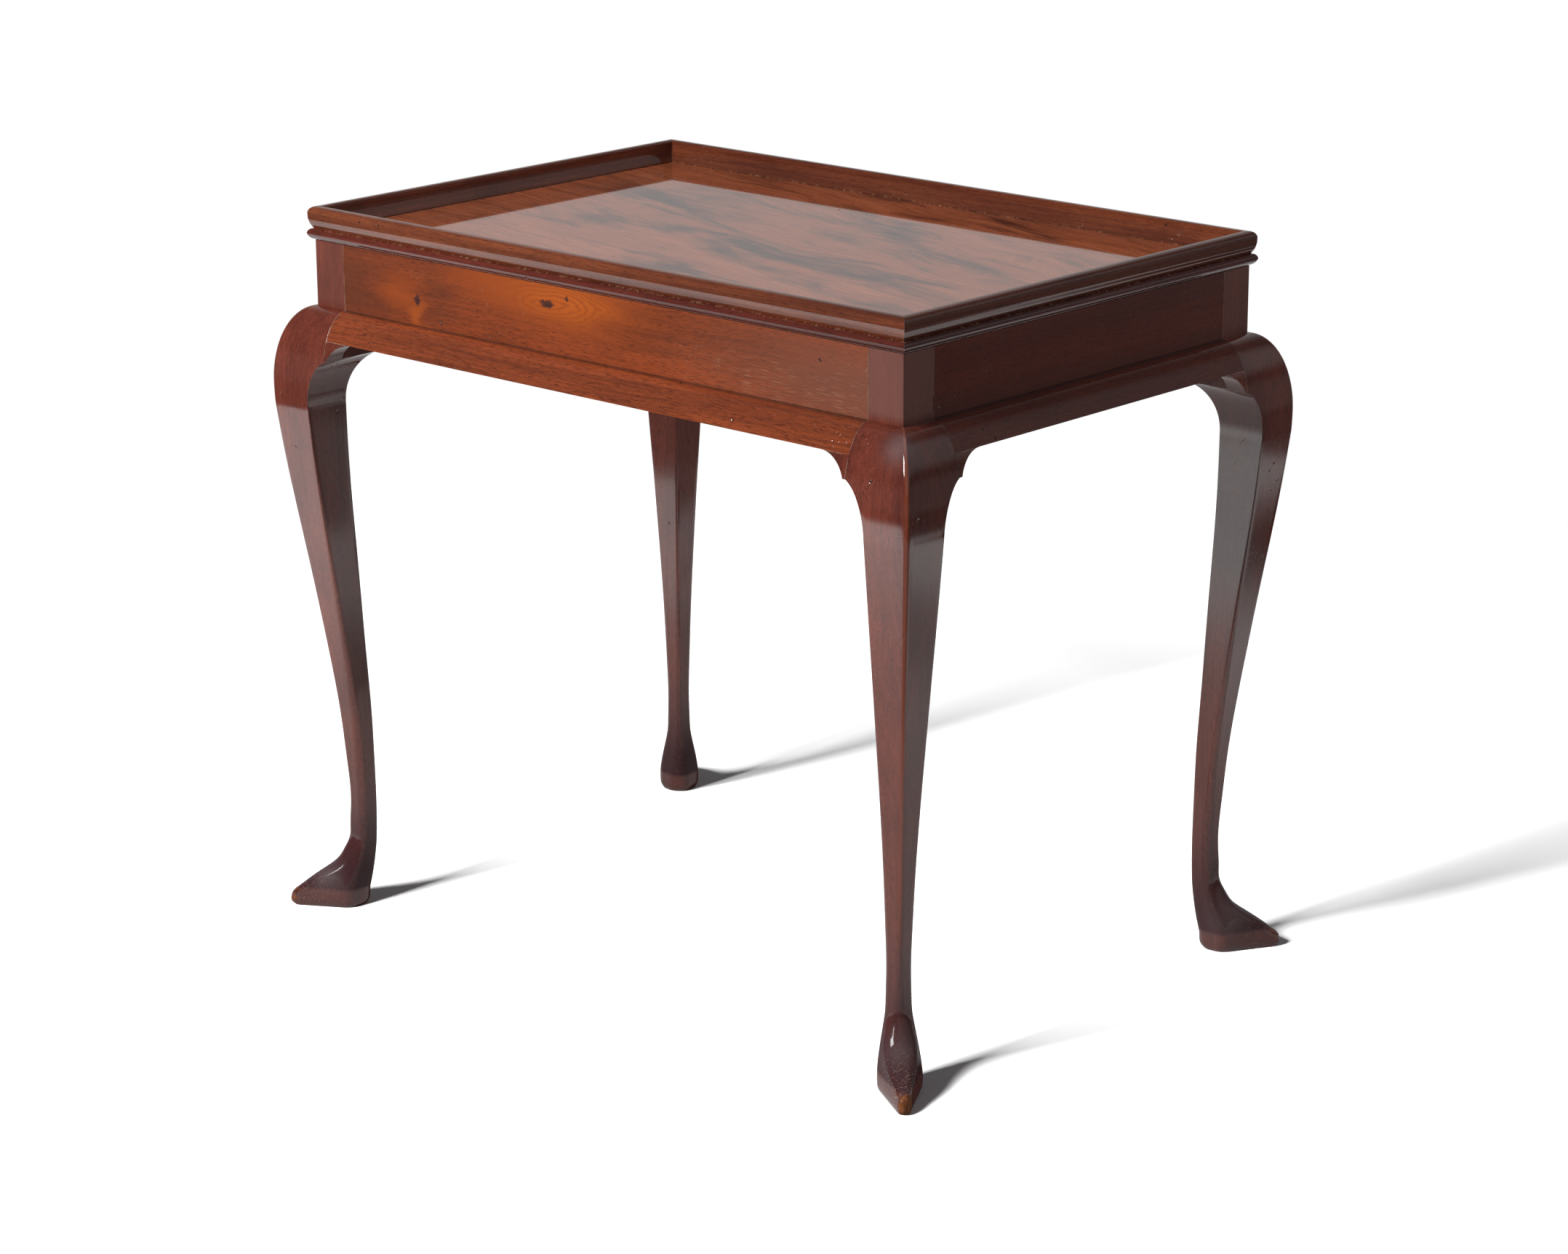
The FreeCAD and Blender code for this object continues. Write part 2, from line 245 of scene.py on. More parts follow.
def add_aimed(data: bpy.types.ID, place: Triple, target: Triple) -> bpy.types.Object:
    """Put a camera or a lamp into the scene, looking from its place to a target.

    Args:
        data: The camera or lamp, whose name the object takes.
        place: Where it stands.
        target: Where it looks.

    Returns:
        The object.
    """
    thing = add_object(data.name, data)
    thing.location = place
    thing.rotation_euler = (Vector(target) - Vector(place)).to_track_quat("-Z", "Y").to_euler()
    return thing


def make_piece(name: str, rings: np.ndarray, node: str, material: bpy.types.Material,
               marks: dict[str, np.ndarray]) -> bpy.types.Object:
    """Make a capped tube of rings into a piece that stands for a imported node.

    Args:
        name: Name of the new piece.
        rings: Points as an array of rings, columns and X, Y, Z.
        node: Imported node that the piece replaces.
        material: Finish of the piece.
        marks: Attributes by name, with one value or one vector for each point.

    Returns:
        The new object.
    """
    rows, columns = rings.shape[:2]
    mesh = bpy.data.meshes.new(name)
    mesh.from_pydata(rings.reshape(-1, 3).tolist(), [], tube_faces(rows, columns))
    for label, values in marks.items():
        kind, key = ("FLOAT_VECTOR", "vector") if values.ndim == rings.ndim else ("FLOAT", "value")
        layer = mesh.attributes.new(label, kind, "POINT")
        layer.data.foreach_set(key, np.ascontiguousarray(values, dtype=np.float32).ravel())
    mesh.shade_smooth()
    mesh.set_sharp_from_angle(angle=SHARP_ANGLE)
    mesh.materials.append(material)
    piece = add_object(name, mesh)
    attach(piece, "root")
    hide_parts(node)
    LOG.info("%s replaces %s with %d points", name, node, rows * columns)
    return piece


class Sketch:
    """Adds nodes and links to one node tree, a short call each."""

    MIX_INPUTS = (0, 6, 7)  # a colour Mix node's share and its two colours
    MIX_OUTPUT = 2

    def __init__(self, tree: bpy.types.NodeTree) -> None:
        """Keep the tree that the calls add to."""
        self.tree = tree

    def add(self, kind: str, **settings: object) -> bpy.types.Node:
        """Add a node.

        Args:
            kind: Node type.
            settings: Properties of the node by name.

        Returns:
            The node.
        """
        node = self.tree.nodes.new(kind)
        for key, value in settings.items():
            setattr(node, key, value)
        return node

    def feed(self, target: Socket, value: object) -> None:
        """Link a socket into the target, or set the target to a constant.

        Args:
            target: An input of a node.
            value: A socket or a constant.
        """
        if isinstance(value, bpy.types.NodeSocket):
            self.tree.links.new(value, target)
        else:
            target.default_value = value

    def feed_all(self, node: bpy.types.Node, values: dict[str, object]) -> None:
        """Feed a node's inputs by name."""
        for label, value in values.items():
            self.feed(node.inputs[label], value)

    def math(self, operation: str, first: object, second: object = 0.0) -> Socket:
        """Add a Math node.

        Args:
            operation: What the node works out.
            first: A socket or a number.
            second: A socket or a number.

        Returns:
            The result.
        """
        node = self.add("ShaderNodeMath", operation=operation)
        self.feed(node.inputs[0], first)
        self.feed(node.inputs[1], second)
        return node.outputs[0]

    def times(self, first: object, second: object) -> Socket:
        """Return the product of two sockets or numbers."""
        return self.math("MULTIPLY", first, second)

    def larger(self, first: object, second: object) -> Socket:
        """Return the larger of two sockets or numbers."""
        return self.math("MAXIMUM", first, second)

    def vector(self, operation: str, first: object, second: object = (0.0, 0.0, 0.0),
               output: str = "Vector") -> Socket:
        """Add a Vector Math node.

        Args:
            operation: What the node works out.
            first: A socket or a constant vector.
            second: A socket or a constant vector.
            output: Name of the result.

        Returns:
            The result.
        """
        node = self.add("ShaderNodeVectorMath", operation=operation)
        self.feed(node.inputs[0], first)
        self.feed(node.inputs[1], second)
        return node.outputs[output]

    def length(self, vector: Socket) -> Socket:
        """Return the length of a vector."""
        return self.vector("LENGTH", vector, output="Value")

    def axes(self, vector: Socket) -> tuple[Socket, ...]:
        """Take a vector apart.

        Args:
            vector: The vector.

        Returns:
            Its X, Y and Z.
        """
        node = self.add("ShaderNodeSeparateXYZ")
        self.feed(node.inputs["Vector"], vector)
        return tuple(node.outputs)

    def turned(self, vector: Socket, angles: Triple) -> Socket:
        """Turn a vector about the three axes.

        Args:
            vector: The vector.
            angles: Angle about each axis.

        Returns:
            The turned vector.
        """
        node = self.add("ShaderNodeMapping")
        self.feed_all(node, {"Vector": vector, "Rotation": angles})
        return node.outputs["Vector"]

    def place(self) -> Socket:
        """Return the Object coordinates."""
        return self.add("ShaderNodeTexCoord").outputs["Object"]

    def attribute(self, name: str, output: str = "Fac") -> Socket:
        """Return an attribute of the piece's points."""
        return self.add("ShaderNodeAttribute", attribute_name=name).outputs[output]

    def noise(self, vector: Socket, scale: Triple, detail: float = 1.0, rough: float = 0.5) -> bpy.types.Node:
        """Add a Noise node on a vector that is first multiplied by a scale for each axis.

        Args:
            vector: Where the noise is read.
            scale: Scale along each axis.
            detail: Number of finer layers.
            rough: How strong the finer layers are.

        Returns:
            The node.
        """
        node = self.add("ShaderNodeTexNoise")
        self.feed_all(node, {"Vector": self.vector("MULTIPLY", vector, scale), "Scale": 1.0, "Detail": detail,
                             "Roughness": rough})
        return node

    def veil(self, vector: Socket, scale: Triple, low: float, high: float, detail: float = 1.0,
             rough: float = 0.5) -> Socket:
        """Return a smooth step of a noise between two limits."""
        return self.ramp(self.noise(vector, scale, detail, rough).outputs["Fac"], low, high)

    def drifted(self, vector: Socket, scale: Triple, reach: Triple, detail: float,
                rough: float = 0.5) -> Socket:
        """Move a vector by a noise's colour less a half, times a reach along each axis.

        Args:
            vector: The vector.
            scale: Scale of the noise along each axis.
            reach: How far the vector moves along each axis.
            detail: Number of the noise's finer layers.
            rough: How strong the finer layers are.

        Returns:
            The moved vector.
        """
        colour = self.noise(vector, scale, detail, rough).outputs["Color"]
        drift = self.vector("SUBTRACT", colour, (0.5, 0.5, 0.5))
        return self.vector("ADD", vector, self.vector("MULTIPLY", drift, reach))

    def ramp(self, value: object, low: float, high: float, to_low: float = 0.0,
             to_high: float = 1.0) -> Socket:
        """Take a smooth step of a value between two limits.

        Args:
            value: The value.
            low: Where the step begins.
            high: Where the step ends.
            to_low: Result up to its beginning.
            to_high: Result from its end on.

        Returns:
            The result.
        """
        node = self.add("ShaderNodeMapRange", interpolation_type="SMOOTHSTEP")
        self.feed_all(node, {"Value": value, "From Min": low, "From Max": high, "To Min": to_low,
                             "To Max": to_high})
        return node.outputs["Result"]

    def mix(self, share: object, first: object, second: object) -> Socket:
        """Mix two colours.

        Args:
            share: Share of the second colour.
            first: A socket, or red, green and blue.
            second: A socket, or red, green and blue.

        Returns:
            The mixed colour.
        """
        node = self.add("ShaderNodeMix", data_type="RGBA")
        for index, value in zip(self.MIX_INPUTS, (share, first, second)):
            self.feed(node.inputs[index], (*value, 1.0) if isinstance(value, tuple) else value)
        return node.outputs[self.MIX_OUTPUT]

    def spot(self, vector: Socket, centre: Triple, spread: Triple) -> Socket:
        """Return a soft spot that is one at its centre and zero past its spread along each axis."""
        away = self.vector("DIVIDE", self.vector("SUBTRACT", vector, centre), spread)
        return self.ramp(self.length(away), 0.0, 1.0, 1.0, 0.0)

    def group(self, tree: bpy.types.NodeTree, **inputs: object) -> bpy.types.Node:
        """Place a node group and feed its inputs by name.

        Args:
            tree: The group.
            inputs: What its inputs get, by name.

        Returns:
            The node.
        """
        node = self.add("ShaderNodeGroup", node_tree=tree)
        self.feed_all(node, inputs)
        return node


def new_material(name: str) -> tuple[Sketch, bpy.types.Node, bpy.types.Material]:
    """Start a material.

    Args:
        name: Name of the material.

    Returns:
        A sketch of its nodes, its shader node and the material.
    """
    material = bpy.data.materials.new(name)
    material.use_nodes = True
    return Sketch(material.node_tree), material.node_tree.nodes["Principled BSDF"], material


def new_group(name: str, inputs: dict[str, str],
              outputs: list[str]) -> tuple[Sketch, bpy.types.Node, bpy.types.Node]:
    """Start a shader node group.

    Args:
        name: Name of the group.
        inputs: Socket types by input name.
        outputs: Names of the value outputs.

    Returns:
        A sketch of the group's tree, its input node and its output node.
    """
    tree = bpy.data.node_groups.new(name, "ShaderNodeTree")
    for label, kind in inputs.items():
        tree.interface.new_socket(name=label, in_out="INPUT", socket_type=kind)
    for label in outputs:
        tree.interface.new_socket(name=label, in_out="OUTPUT", socket_type="NodeSocketFloat")
    sketch = Sketch(tree)
    return sketch, sketch.add("NodeGroupInput"), sketch.add("NodeGroupOutput")


class SharedEffects:
    """Node groups that several finishes place with their own values."""

    # Each layer of the grain: scale along and across it, detail, roughness, and limits of its smooth step.
    GRAIN_LAYERS = {"Tone": ((1.6, 22.0, 22.0), 3.0, 0.55, 0.3, 0.7),
                    "Streak": ((7.0, 300.0, 300.0), 4.0, 0.6, 0.3, 0.7),
                    "Pores": ((110.0, 1500.0, 1500.0), 1.0, 0.5, 0.54, 0.66),
                    "Cloud": ((13.0, 24.0, 24.0), 4.0, 0.6, 0.45, 0.72)}
    GRAIN_WANDER = (3.0, 12.0, 12.0)
    GRAIN_REACH = (0.0, 0.016, 0.016)
    RUB_SCALE = (240.0, 240.0, 240.0)
    SCRATCH_TURN = (0.6, 0.9, 0.3)
    SCRATCH_SCALE = (14.0, 700.0, 700.0)
    PATCH_SCALE = (26.0, 26.0, 26.0)
    PIT_SCALE = 55.0
    WAVE_SCALE = (17.0, 17.0, 17.0)
    FILLER_SCALE = (75.0, 75.0, 75.0)

    def __init__(self) -> None:
        """Build each group once."""
        self.grain = self._grain()
        self.wear = self._wear()
        self.joint = self._joint()

    def _grain(self) -> bpy.types.NodeTree:
        """Mahogany grain along X: a wandering vector stretches noises into tone, streaks, pores and clouds.

        Returns:
            The group.
        """
        sketch, given, out = new_group("mahogany_grain", {"Vector": "NodeSocketVector"},
                                       list(self.GRAIN_LAYERS))
        moved = sketch.drifted(given.outputs["Vector"], self.GRAIN_WANDER, self.GRAIN_REACH, 2.0)
        for label, (scale, detail, rough, low, high) in self.GRAIN_LAYERS.items():
            sketch.feed(out.inputs[label], sketch.veil(moved, scale, low, high, detail, rough))
        return sketch.tree

    def _wear(self) -> bpy.types.NodeTree:
        """Handling marks: broken rub on arrises, thin scratches, small pits and a hand-planed wave.

        Returns:
            The group.
        """
        sketch, given, out = new_group("polish_wear",
                                       {"Vector": "NodeSocketVector", "Arris": "NodeSocketFloat"},
                                       ["Rub", "Scratch", "Pit", "Wave"])
        vector = given.outputs["Vector"]
        broken = sketch.veil(vector, self.RUB_SCALE, 0.5, 0.66, 4.0, 0.65)
        thin = sketch.veil(sketch.turned(vector, self.SCRATCH_TURN), self.SCRATCH_SCALE, 0.68, 0.74)
        patch = sketch.noise(vector, self.PATCH_SCALE).outputs["Fac"]
        cells = sketch.add("ShaderNodeTexVoronoi")
        sketch.feed_all(cells, {"Vector": vector, "Scale": self.PIT_SCALE})
        round_pit = sketch.ramp(cells.outputs["Distance"], 0.05, 0.11, 1.0, 0.0)
        sketch.feed_all(out, {"Rub": sketch.times(given.outputs["Arris"], broken),
                              "Scratch": sketch.times(thin, sketch.ramp(patch, 0.52, 0.64)),
                              "Pit": sketch.times(round_pit, sketch.ramp(patch, 0.55, 0.62)),
                              "Wave": sketch.noise(vector, self.WAVE_SCALE).outputs["Fac"]})
        return sketch.tree

    def _joint(self) -> bpy.types.NodeTree:
        """A joint seen as a thin dark line, with pale filler left along broken stretches of it.

        Returns:
            The group.
        """
        sketch, given, out = new_group("joint_line",
                                       {"Vector": "NodeSocketVector", "Distance": "NodeSocketFloat",
                                        "Width": "NodeSocketFloat"}, ["Dark", "Pale"])
        gap = sketch.math("ABSOLUTE", given.outputs["Distance"])
        line = sketch.ramp(sketch.math("DIVIDE", gap, given.outputs["Width"]), 0.45, 1.0, 1.0, 0.0)
        broken = sketch.veil(given.outputs["Vector"], self.FILLER_SCALE, 0.34, 0.56, 3.0, 0.6)
        sketch.feed_all(out, {"Dark": line, "Pale": sketch.times(line, broken)})
        return sketch.tree


@dataclass(frozen=True)
class Polish:
    """A French-polished mahogany: two grain colours, the colour of its pores and how it shines."""

    name: str
    deep: Colour
    warm: Colour
    pore: Colour
    streak_share: float = 0.4
    tone_share: float = 0.6
    pore_share: float = 0.55
    cloud_share: float = 0.55
    scratch_share: float = 0.35
    pit_share: float = 0.7
    coat_roughness: float = 0.075
    coat_index: float = 1.5
    worn_coat: float = 0.15
    wood_roughness: float = 0.42
    bare_roughness: float = 0.7
    wave_height: float = 0.00010
    pit_depth: float = 0.00025
    scratch_depth: float = 0.00004
    rub_colour: Colour = (0.36, 0.20, 0.12)
    scratch_colour: Colour = (0.30, 0.17, 0.11)
    filler_colour: Colour = (0.52, 0.40, 0.30)
    dirt_and_shade_colour: Colour = (0.008, 0.004, 0.003)

    def start(self, name: str = "") -> tuple[Sketch, bpy.types.Node, bpy.types.Material]:
        """Start a material with its constant gloss.

        Args:
            name: Name of the material, where it isn't the finish's own.

        Returns:
            A sketch of its nodes, its shader node and the material.
        """
        sketch, shader, material = new_material(name or self.name)
        sketch.feed_all(shader, {"Coat Weight": 1.0, "Coat Roughness": self.coat_roughness,
                                 "Coat IOR": self.coat_index, "Specular IOR Level": 0.0})
        return sketch, shader, material

    def wood(self, sketch: Sketch, effects: SharedEffects, grain: Socket) -> tuple[Socket, bpy.types.Node]:
        """Colour of the plain wood.

        Args:
            sketch: Sketch of the material.
            effects: Shared groups.
            grain: The wood's own coordinates, X along the grain.

        Returns:
            The colour socket and the placed grain group.
        """
        figure = sketch.group(effects.grain, Vector=grain)
        tone = sketch.times(figure.outputs["Tone"], self.tone_share)
        streak = sketch.times(figure.outputs["Streak"], self.streak_share)
        colour = sketch.mix(sketch.math("ADD", tone, streak), self.deep, self.warm)
        colour = sketch.mix(sketch.times(figure.outputs["Cloud"], self.cloud_share), colour, self.deep)
        return sketch.mix(sketch.times(figure.outputs["Pores"], self.pore_share), colour, self.pore), figure

    def surface(self, sketch: Sketch, shader: bpy.types.Node, effects: SharedEffects, place: Socket,
                arris: object, colour: Socket, bare: object) -> None:
        """Add handling marks to a colour and feed the shader.

        Args:
            sketch: Sketch of the material.
            shader: The Principled shader.
            effects: Shared groups.
            place: Object coordinates.
            arris: How much of an edge each place is.
            colour: Colour of the wood with its own marks.
            bare: Where the polish is worn off.
        """
        wear = sketch.group(effects.wear, Vector=place, Arris=arris).outputs
        colour = sketch.mix(wear["Rub"], colour, self.rub_colour)
        colour = sketch.mix(sketch.times(wear["Scratch"], self.scratch_share), colour, self.scratch_colour)
        colour = sketch.mix(sketch.times(wear["Pit"], self.pit_share), colour, self.dirt_and_shade_colour)
        dull = sketch.larger(wear["Rub"], bare)
        marks = sketch.math("ADD", sketch.times(wear["Pit"], -self.pit_depth),
                            sketch.times(wear["Wave"], self.wave_height))
        marks = sketch.math("ADD", marks, sketch.times(wear["Scratch"], -self.scratch_depth))
        bump = sketch.add("ShaderNodeBump")
        sketch.feed_all(bump, {"Strength": 1.0, "Distance": 1.0, "Height": marks})
        rough = sketch.ramp(dull, 0.0, 1.0, self.wood_roughness, self.bare_roughness)
        sketch.feed_all(shader, {"Base Color": colour, "Roughness": rough,
                                 "Coat Weight": sketch.ramp(dull, 0.1, 0.9, 1.0, self.worn_coat),
                                 "Normal": bump.outputs["Normal"], "Coat Normal": bump.outputs["Normal"]})


@dataclass(frozen=True)
class Joint:
    """How a joint shows: the line's half width, its dark (dirt; painted shade in a shaded joint) and its pale
    filler.
    """

    width: float
    dark: float
    pale: float


FILLED_JOINT = Joint(0.0005, 0.3, 0.6)
# A shaded joint is a line of painted shade, where one piece meets another in a crease.
SHADED_JOINT = Joint(0.0009, 0.55, 0.03)


class Finishes:
    """The table's finishes, each built once."""

    LEG = Polish("leg_polish", (0.085, 0.017, 0.011), (0.22, 0.046, 0.026), (0.04, 0.010, 0.008),
                 coat_index=1.6, coat_roughness=0.09)
    MOULDING = Polish("moulding_polish", (0.15, 0.034, 0.014), (0.38, 0.080, 0.026), (0.08, 0.018, 0.009),
                      streak_share=0.5, pore_share=0.8, cloud_share=0.35)
    RIM = Polish("rim_polish", (0.09, 0.022, 0.012), (0.27, 0.072, 0.028), (0.05, 0.012, 0.008))
    EDGE = Polish("edge_polish", (0.06, 0.012, 0.009), (0.17, 0.032, 0.019), (0.03, 0.008, 0.006))
    FRIEZE = Polish("frieze_polish", (0.14, 0.032, 0.012), (0.38, 0.074, 0.021), (0.07, 0.017, 0.009),
                    streak_share=0.3, tone_share=0.7, pore_share=0.65, cloud_share=0.3)
    BOARD = Polish("board_polish", (0.070, 0.020, 0.014), (0.58, 0.160, 0.066), (0.15, 0.038, 0.018),
                   pore_share=0.4, coat_roughness=0.045, pit_depth=0.00005, wave_height=0.00003)
    PINE = Polish("old_pine", (0.17, 0.092, 0.040), (0.37, 0.225, 0.115), (0.12, 0.06, 0.03))
    PINE_ROUGHNESS = 0.75

    # Tints that a new piece's attributes lay over its wood, in this order; some of them are painted light.
    # The last tint is a painted sheen, a pale patch that stands in for a soft highlight.
    # The pale tint on the posts is bleached wood with a painted sheen.
    # The soil tint is dirt on the feet, and painted shade on the end mouldings and tray strips.
    # The warm tint on the legs' outer ridge is painted in place of the dark that the ridge reflects.
    AGE_AND_PAINTED_LIGHT_TINTS = {"pale": (0.21, 0.094, 0.076), "warm": (0.30, 0.062, 0.022), "soil_and_shade": (0.052, 0.023, 0.028),
                 "haze": (0.22, 0.18, 0.185)}
    SOIL_DULLNESS = 0.8
    SCUFF_COLOUR = (0.36, 0.22, 0.17)
    SCUFF_TURNS = ((0.5, 0.25, 0.4), (-0.4, -0.5, 1.9))
    SCUFF_SCALE = (110.0, 900.0, 900.0)
    NAIL_SPREAD = (0.0026, 0.01, 0.0026)
    NAIL_COLOUR = (0.04, 0.022, 0.018)
    RAGGED_SCALE = (150.0, 150.0, 150.0)

    # Bare wood, dark and pale: worn places, the rails' inner faces and the board's underside.
    WORN_WOOD = ((0.13, 0.044, 0.018), (0.38, 0.135, 0.050))
    RAIL_BACK = ((0.075, 0.036, 0.020), (0.19, 0.105, 0.062))
    BOARD_BACK = ((0.075, 0.036, 0.020), (0.18, 0.095, 0.055))
    SKIN = (0.001, 0.003)  # depth over which the polish gives way to bare wood
    # Painted shade that darkens the end rails, and how much of it.
    END_RAIL_PAINTED_SHADE = (0.066, 0.014, 0.014)
    END_RAIL_SHADE_SHARE = 0.7

    # The front rail's figure, as X and Z on its face and the reach along both.
    KNOT_EYE = (-0.057, 0.6604)
    KNOT_EYES = ((KNOT_EYE, (0.0130, 0.0056)), ((-0.231, 0.639), (0.006, 0.0085)),
                 ((-0.032, 0.6687), (0.0035, 0.0032)), ((0.2775, 0.6589), (0.0035, 0.003)))
    EYE_COLOUR = (0.030, 0.017, 0.019)
    EYE_SHARE = 0.88
    RING_PITCH = 1700.0
    BLEACHED = ((0.25, 0.628), (0.20, 0.045))
    BLEACHED_COLOUR = (0.42, 0.22, 0.13)
    THROUGH = 0.1  # a spot's reach across the face, so that it covers the rail's edge too

    FLAME_TURN = math.radians(12)
    FLAME_PLAIN = (0.38, 0.100, 0.043)
    FLAME_BRIGHT = (0.66, 0.200, 0.085)

    def __init__(self, effects: SharedEffects) -> None:
        """Keep the shared groups."""
        self.effects = effects

    def carved(self, polish: Polish, nail: Triple | None = None) -> bpy.types.Material:
        """Finish of a new piece, which carries its grain, arris, bare wood and joints as attributes.

        Args:
            polish: Colours and gloss.
            nail: Place of a filled nail hole.

        Returns:
            The material.
        """
        sketch, shader, material = polish.start()
        place = sketch.place()
        colour, figure = polish.wood(sketch, self.effects, sketch.attribute("grain", "Vector"))
        # Lines of painted shade along creases, then filled joints.
        colour = self._jointed(sketch, polish, colour, place, sketch.attribute("shade"), SHADED_JOINT)
        colour = self._jointed(sketch, polish, colour, place, sketch.attribute("joint"), FILLED_JOINT)
        shares = {label: sketch.attribute(label) for label in self.AGE_AND_PAINTED_LIGHT_TINTS}
        for label, tint in self.AGE_AND_PAINTED_LIGHT_TINTS.items():
            colour = sketch.mix(shares[label], colour, tint)
        scuffed = sketch.times(self._scuffs(sketch, place), sketch.attribute("scuff"))
        colour = sketch.mix(scuffed, colour, self.SCUFF_COLOUR)
        if nail:
            hole = sketch.ramp(sketch.spot(place, nail, self.NAIL_SPREAD), 0.0, 0.6)
            colour = sketch.mix(hole, colour, self.NAIL_COLOUR)
        ragged = sketch.times(sketch.noise(place, self.RAGGED_SCALE, 4.0, 0.7).outputs["Fac"], 0.9)
        worn = sketch.ramp(sketch.math("ADD", sketch.attribute("bare"), ragged), 0.94, 1.08)
        colour = sketch.mix(worn, colour, sketch.mix(figure.outputs["Streak"], *self.WORN_WOOD))
        dull = sketch.larger(worn, sketch.times(shares["soil_and_shade"], self.SOIL_DULLNESS))
        polish.surface(sketch, shader, self.effects, place, sketch.attribute("arris"), colour, dull)
        return material

    def _scuffs(self, sketch: Sketch, place: Socket) -> Socket:
        """Short scratches in two slanting directions, as thin ridges of stretched noises."""
        return sketch.larger(*(sketch.veil(sketch.turned(place, turn), self.SCUFF_SCALE, 0.64, 0.70)
                               for turn in self.SCUFF_TURNS))

    def _jointed(self, sketch: Sketch, polish: Polish, colour: Socket, place: Socket, gap: object,
                 joint: Joint) -> Socket:
        """Draw a joint over a colour.

        Args:
            sketch: Sketch of the material.
            polish: Colours of dirt and painted shade, and of filler.
            colour: Colour below the line.
            place: Object coordinates.
            gap: Distance from the joint.
            joint: How the joint shows.

        Returns:
            The colour with its line.
        """
        line = sketch.group(self.effects.joint, Vector=place, Distance=gap, Width=joint.width)
        colour = sketch.mix(sketch.times(line.outputs["Dark"], joint.dark), colour, polish.dirt_and_shade_colour)
        return sketch.mix(sketch.times(line.outputs["Pale"], joint.pale), colour, polish.filler_colour)

    def frieze_rail(self, side: Side, half_run: float, foot: float, reach: float) -> bpy.types.Material:
        """Finish of a frieze rail, bare on its inner face, with knots on the front one and painted shade on
        the end ones.

        Args:
            side: Side of the table.
            half_run: Half of the rail's length between the posts.
            foot: Height of the joint with the cushion moulding.
            reach: Distance of the rail's outer face from the middle of the table.

        Returns:
            The material.
        """
        polish = self.FRIEZE
        sketch, shader, material = polish.start(f"frieze_{side.label}_polish")
        place = sketch.place()
        run = sketch.turned(place, (0.0, 0.0, -side.value * math.pi / 2))
        shifted = sketch.vector("ADD", run, (side.value * 1.7, 0.0, side.value * 0.31))
        colour, figure = polish.wood(sketch, self.effects, shifted)
        if side is Side.FRONT:
            colour = self._knots(sketch, colour, run, -reach)
        # The end rails are darkened with painted shade.
        if not side.is_long:
            colour = sketch.mix(self.END_RAIL_SHADE_SHARE, colour, self.END_RAIL_PAINTED_SHADE)
        along, across, height = sketch.axes(run)
        end_gap = sketch.math("SUBTRACT", half_run, sketch.math("ABSOLUTE", along))
        foot_gap = sketch.math("SUBTRACT", height, foot)
        # A line of painted shade along the rail's foot, where the moulding meets it.
        colour = self._jointed(sketch, polish, colour, place, foot_gap, SHADED_JOINT)
        colour = self._jointed(sketch, polish, colour, place, end_gap, FILLED_JOINT)
        inside = sketch.ramp(across, *(depth - reach for depth in self.SKIN))
        colour = sketch.mix(inside, colour, sketch.mix(figure.outputs["Streak"], *self.RAIL_BACK))
        polish.surface(sketch, shader, self.effects, place, 0.0, colour, inside)
        return material

    def _knots(self, sketch: Sketch, colour: Socket, run: Socket, face: float) -> Socket:
        """Draw the front rail's figure: a worn left end, a painted grey reflection on the right, bright rings
        about the large knot, and dark eyes.

        Args:
            sketch: Sketch of the material.
            colour: Colour of the plain wood.
            run: Coordinates along the rail.
            face: Place of the rail's outer face across the run.

        Returns:
            The colour with its figure.
        """
        def spot(vector: Socket, centre: tuple[float, float], spread: tuple[float, float]) -> Socket:
            """Return a soft spot on the face."""
            return sketch.spot(vector, (centre[0], face, centre[1]), (spread[0], self.THROUGH, spread[1]))

        orange, amber = (0.46, 0.100, 0.015), (0.36, 0.074, 0.014)
        rust, dull, grey = (0.33, 0.066, 0.014), (0.12, 0.034, 0.017), (0.20, 0.078, 0.052)
        loose = sketch.drifted(run, (14.0, 14.0, 60.0), (0.07, 0.0, 0.012), 4.0, 0.6)
        away = sketch.vector("SUBTRACT", loose, (self.KNOT_EYE[0], face, self.KNOT_EYE[1]))
        rings = sketch.length(sketch.vector("MULTIPLY", away, (0.27, 0.0, 1.0)))
        bands = sketch.ramp(sketch.math("SINE", sketch.times(rings, self.RING_PITCH)), -0.4, 1.0)
        ringed = sketch.mix(bands, orange, amber)
        # The grey tint over the rail's right part is a painted reflection.
        for centre, spread, share, tint in (((-0.34, 0.645), (0.11, 0.08), 0.75, dull),
                                            ((-0.203, 0.650), (0.034, 0.06), 0.4, dull),
                                            ((-0.256, 0.643), (0.044, 0.030), 0.8, rust),
                                            ((-0.233, 0.624), (0.018, 0.022), 0.6, orange),
                                            ((0.34, 0.640), (0.30, 0.10), 0.8, grey),
                                            ((-0.120, 0.672), (0.110, 0.040), 0.9, rust),
                                            ((-0.030, 0.670), (0.150, 0.048), 1.0, amber),
                                            ((-0.035, 0.665), (0.090, 0.030), 1.0, ringed)):
            colour = sketch.mix(sketch.times(spot(loose, centre, spread), share), colour, tint)
        dashes = sketch.veil(run, (55.0, 0.0, 1300.0), 0.56, 0.70)
        bleached = sketch.times(sketch.times(dashes, spot(run, *self.BLEACHED)), 0.5)
        colour = sketch.mix(bleached, colour, self.BLEACHED_COLOUR)
        frayed = sketch.drifted(run, (190.0, 190.0, 330.0), (0.014, 0.0, 0.008), 3.0, 0.65)
        for centre, spread in self.KNOT_EYES:
            mask = sketch.ramp(spot(frayed, centre, spread), 0.05, 0.6)
            colour = sketch.mix(sketch.times(mask, self.EYE_SHARE), colour, self.EYE_COLOUR)
        return colour

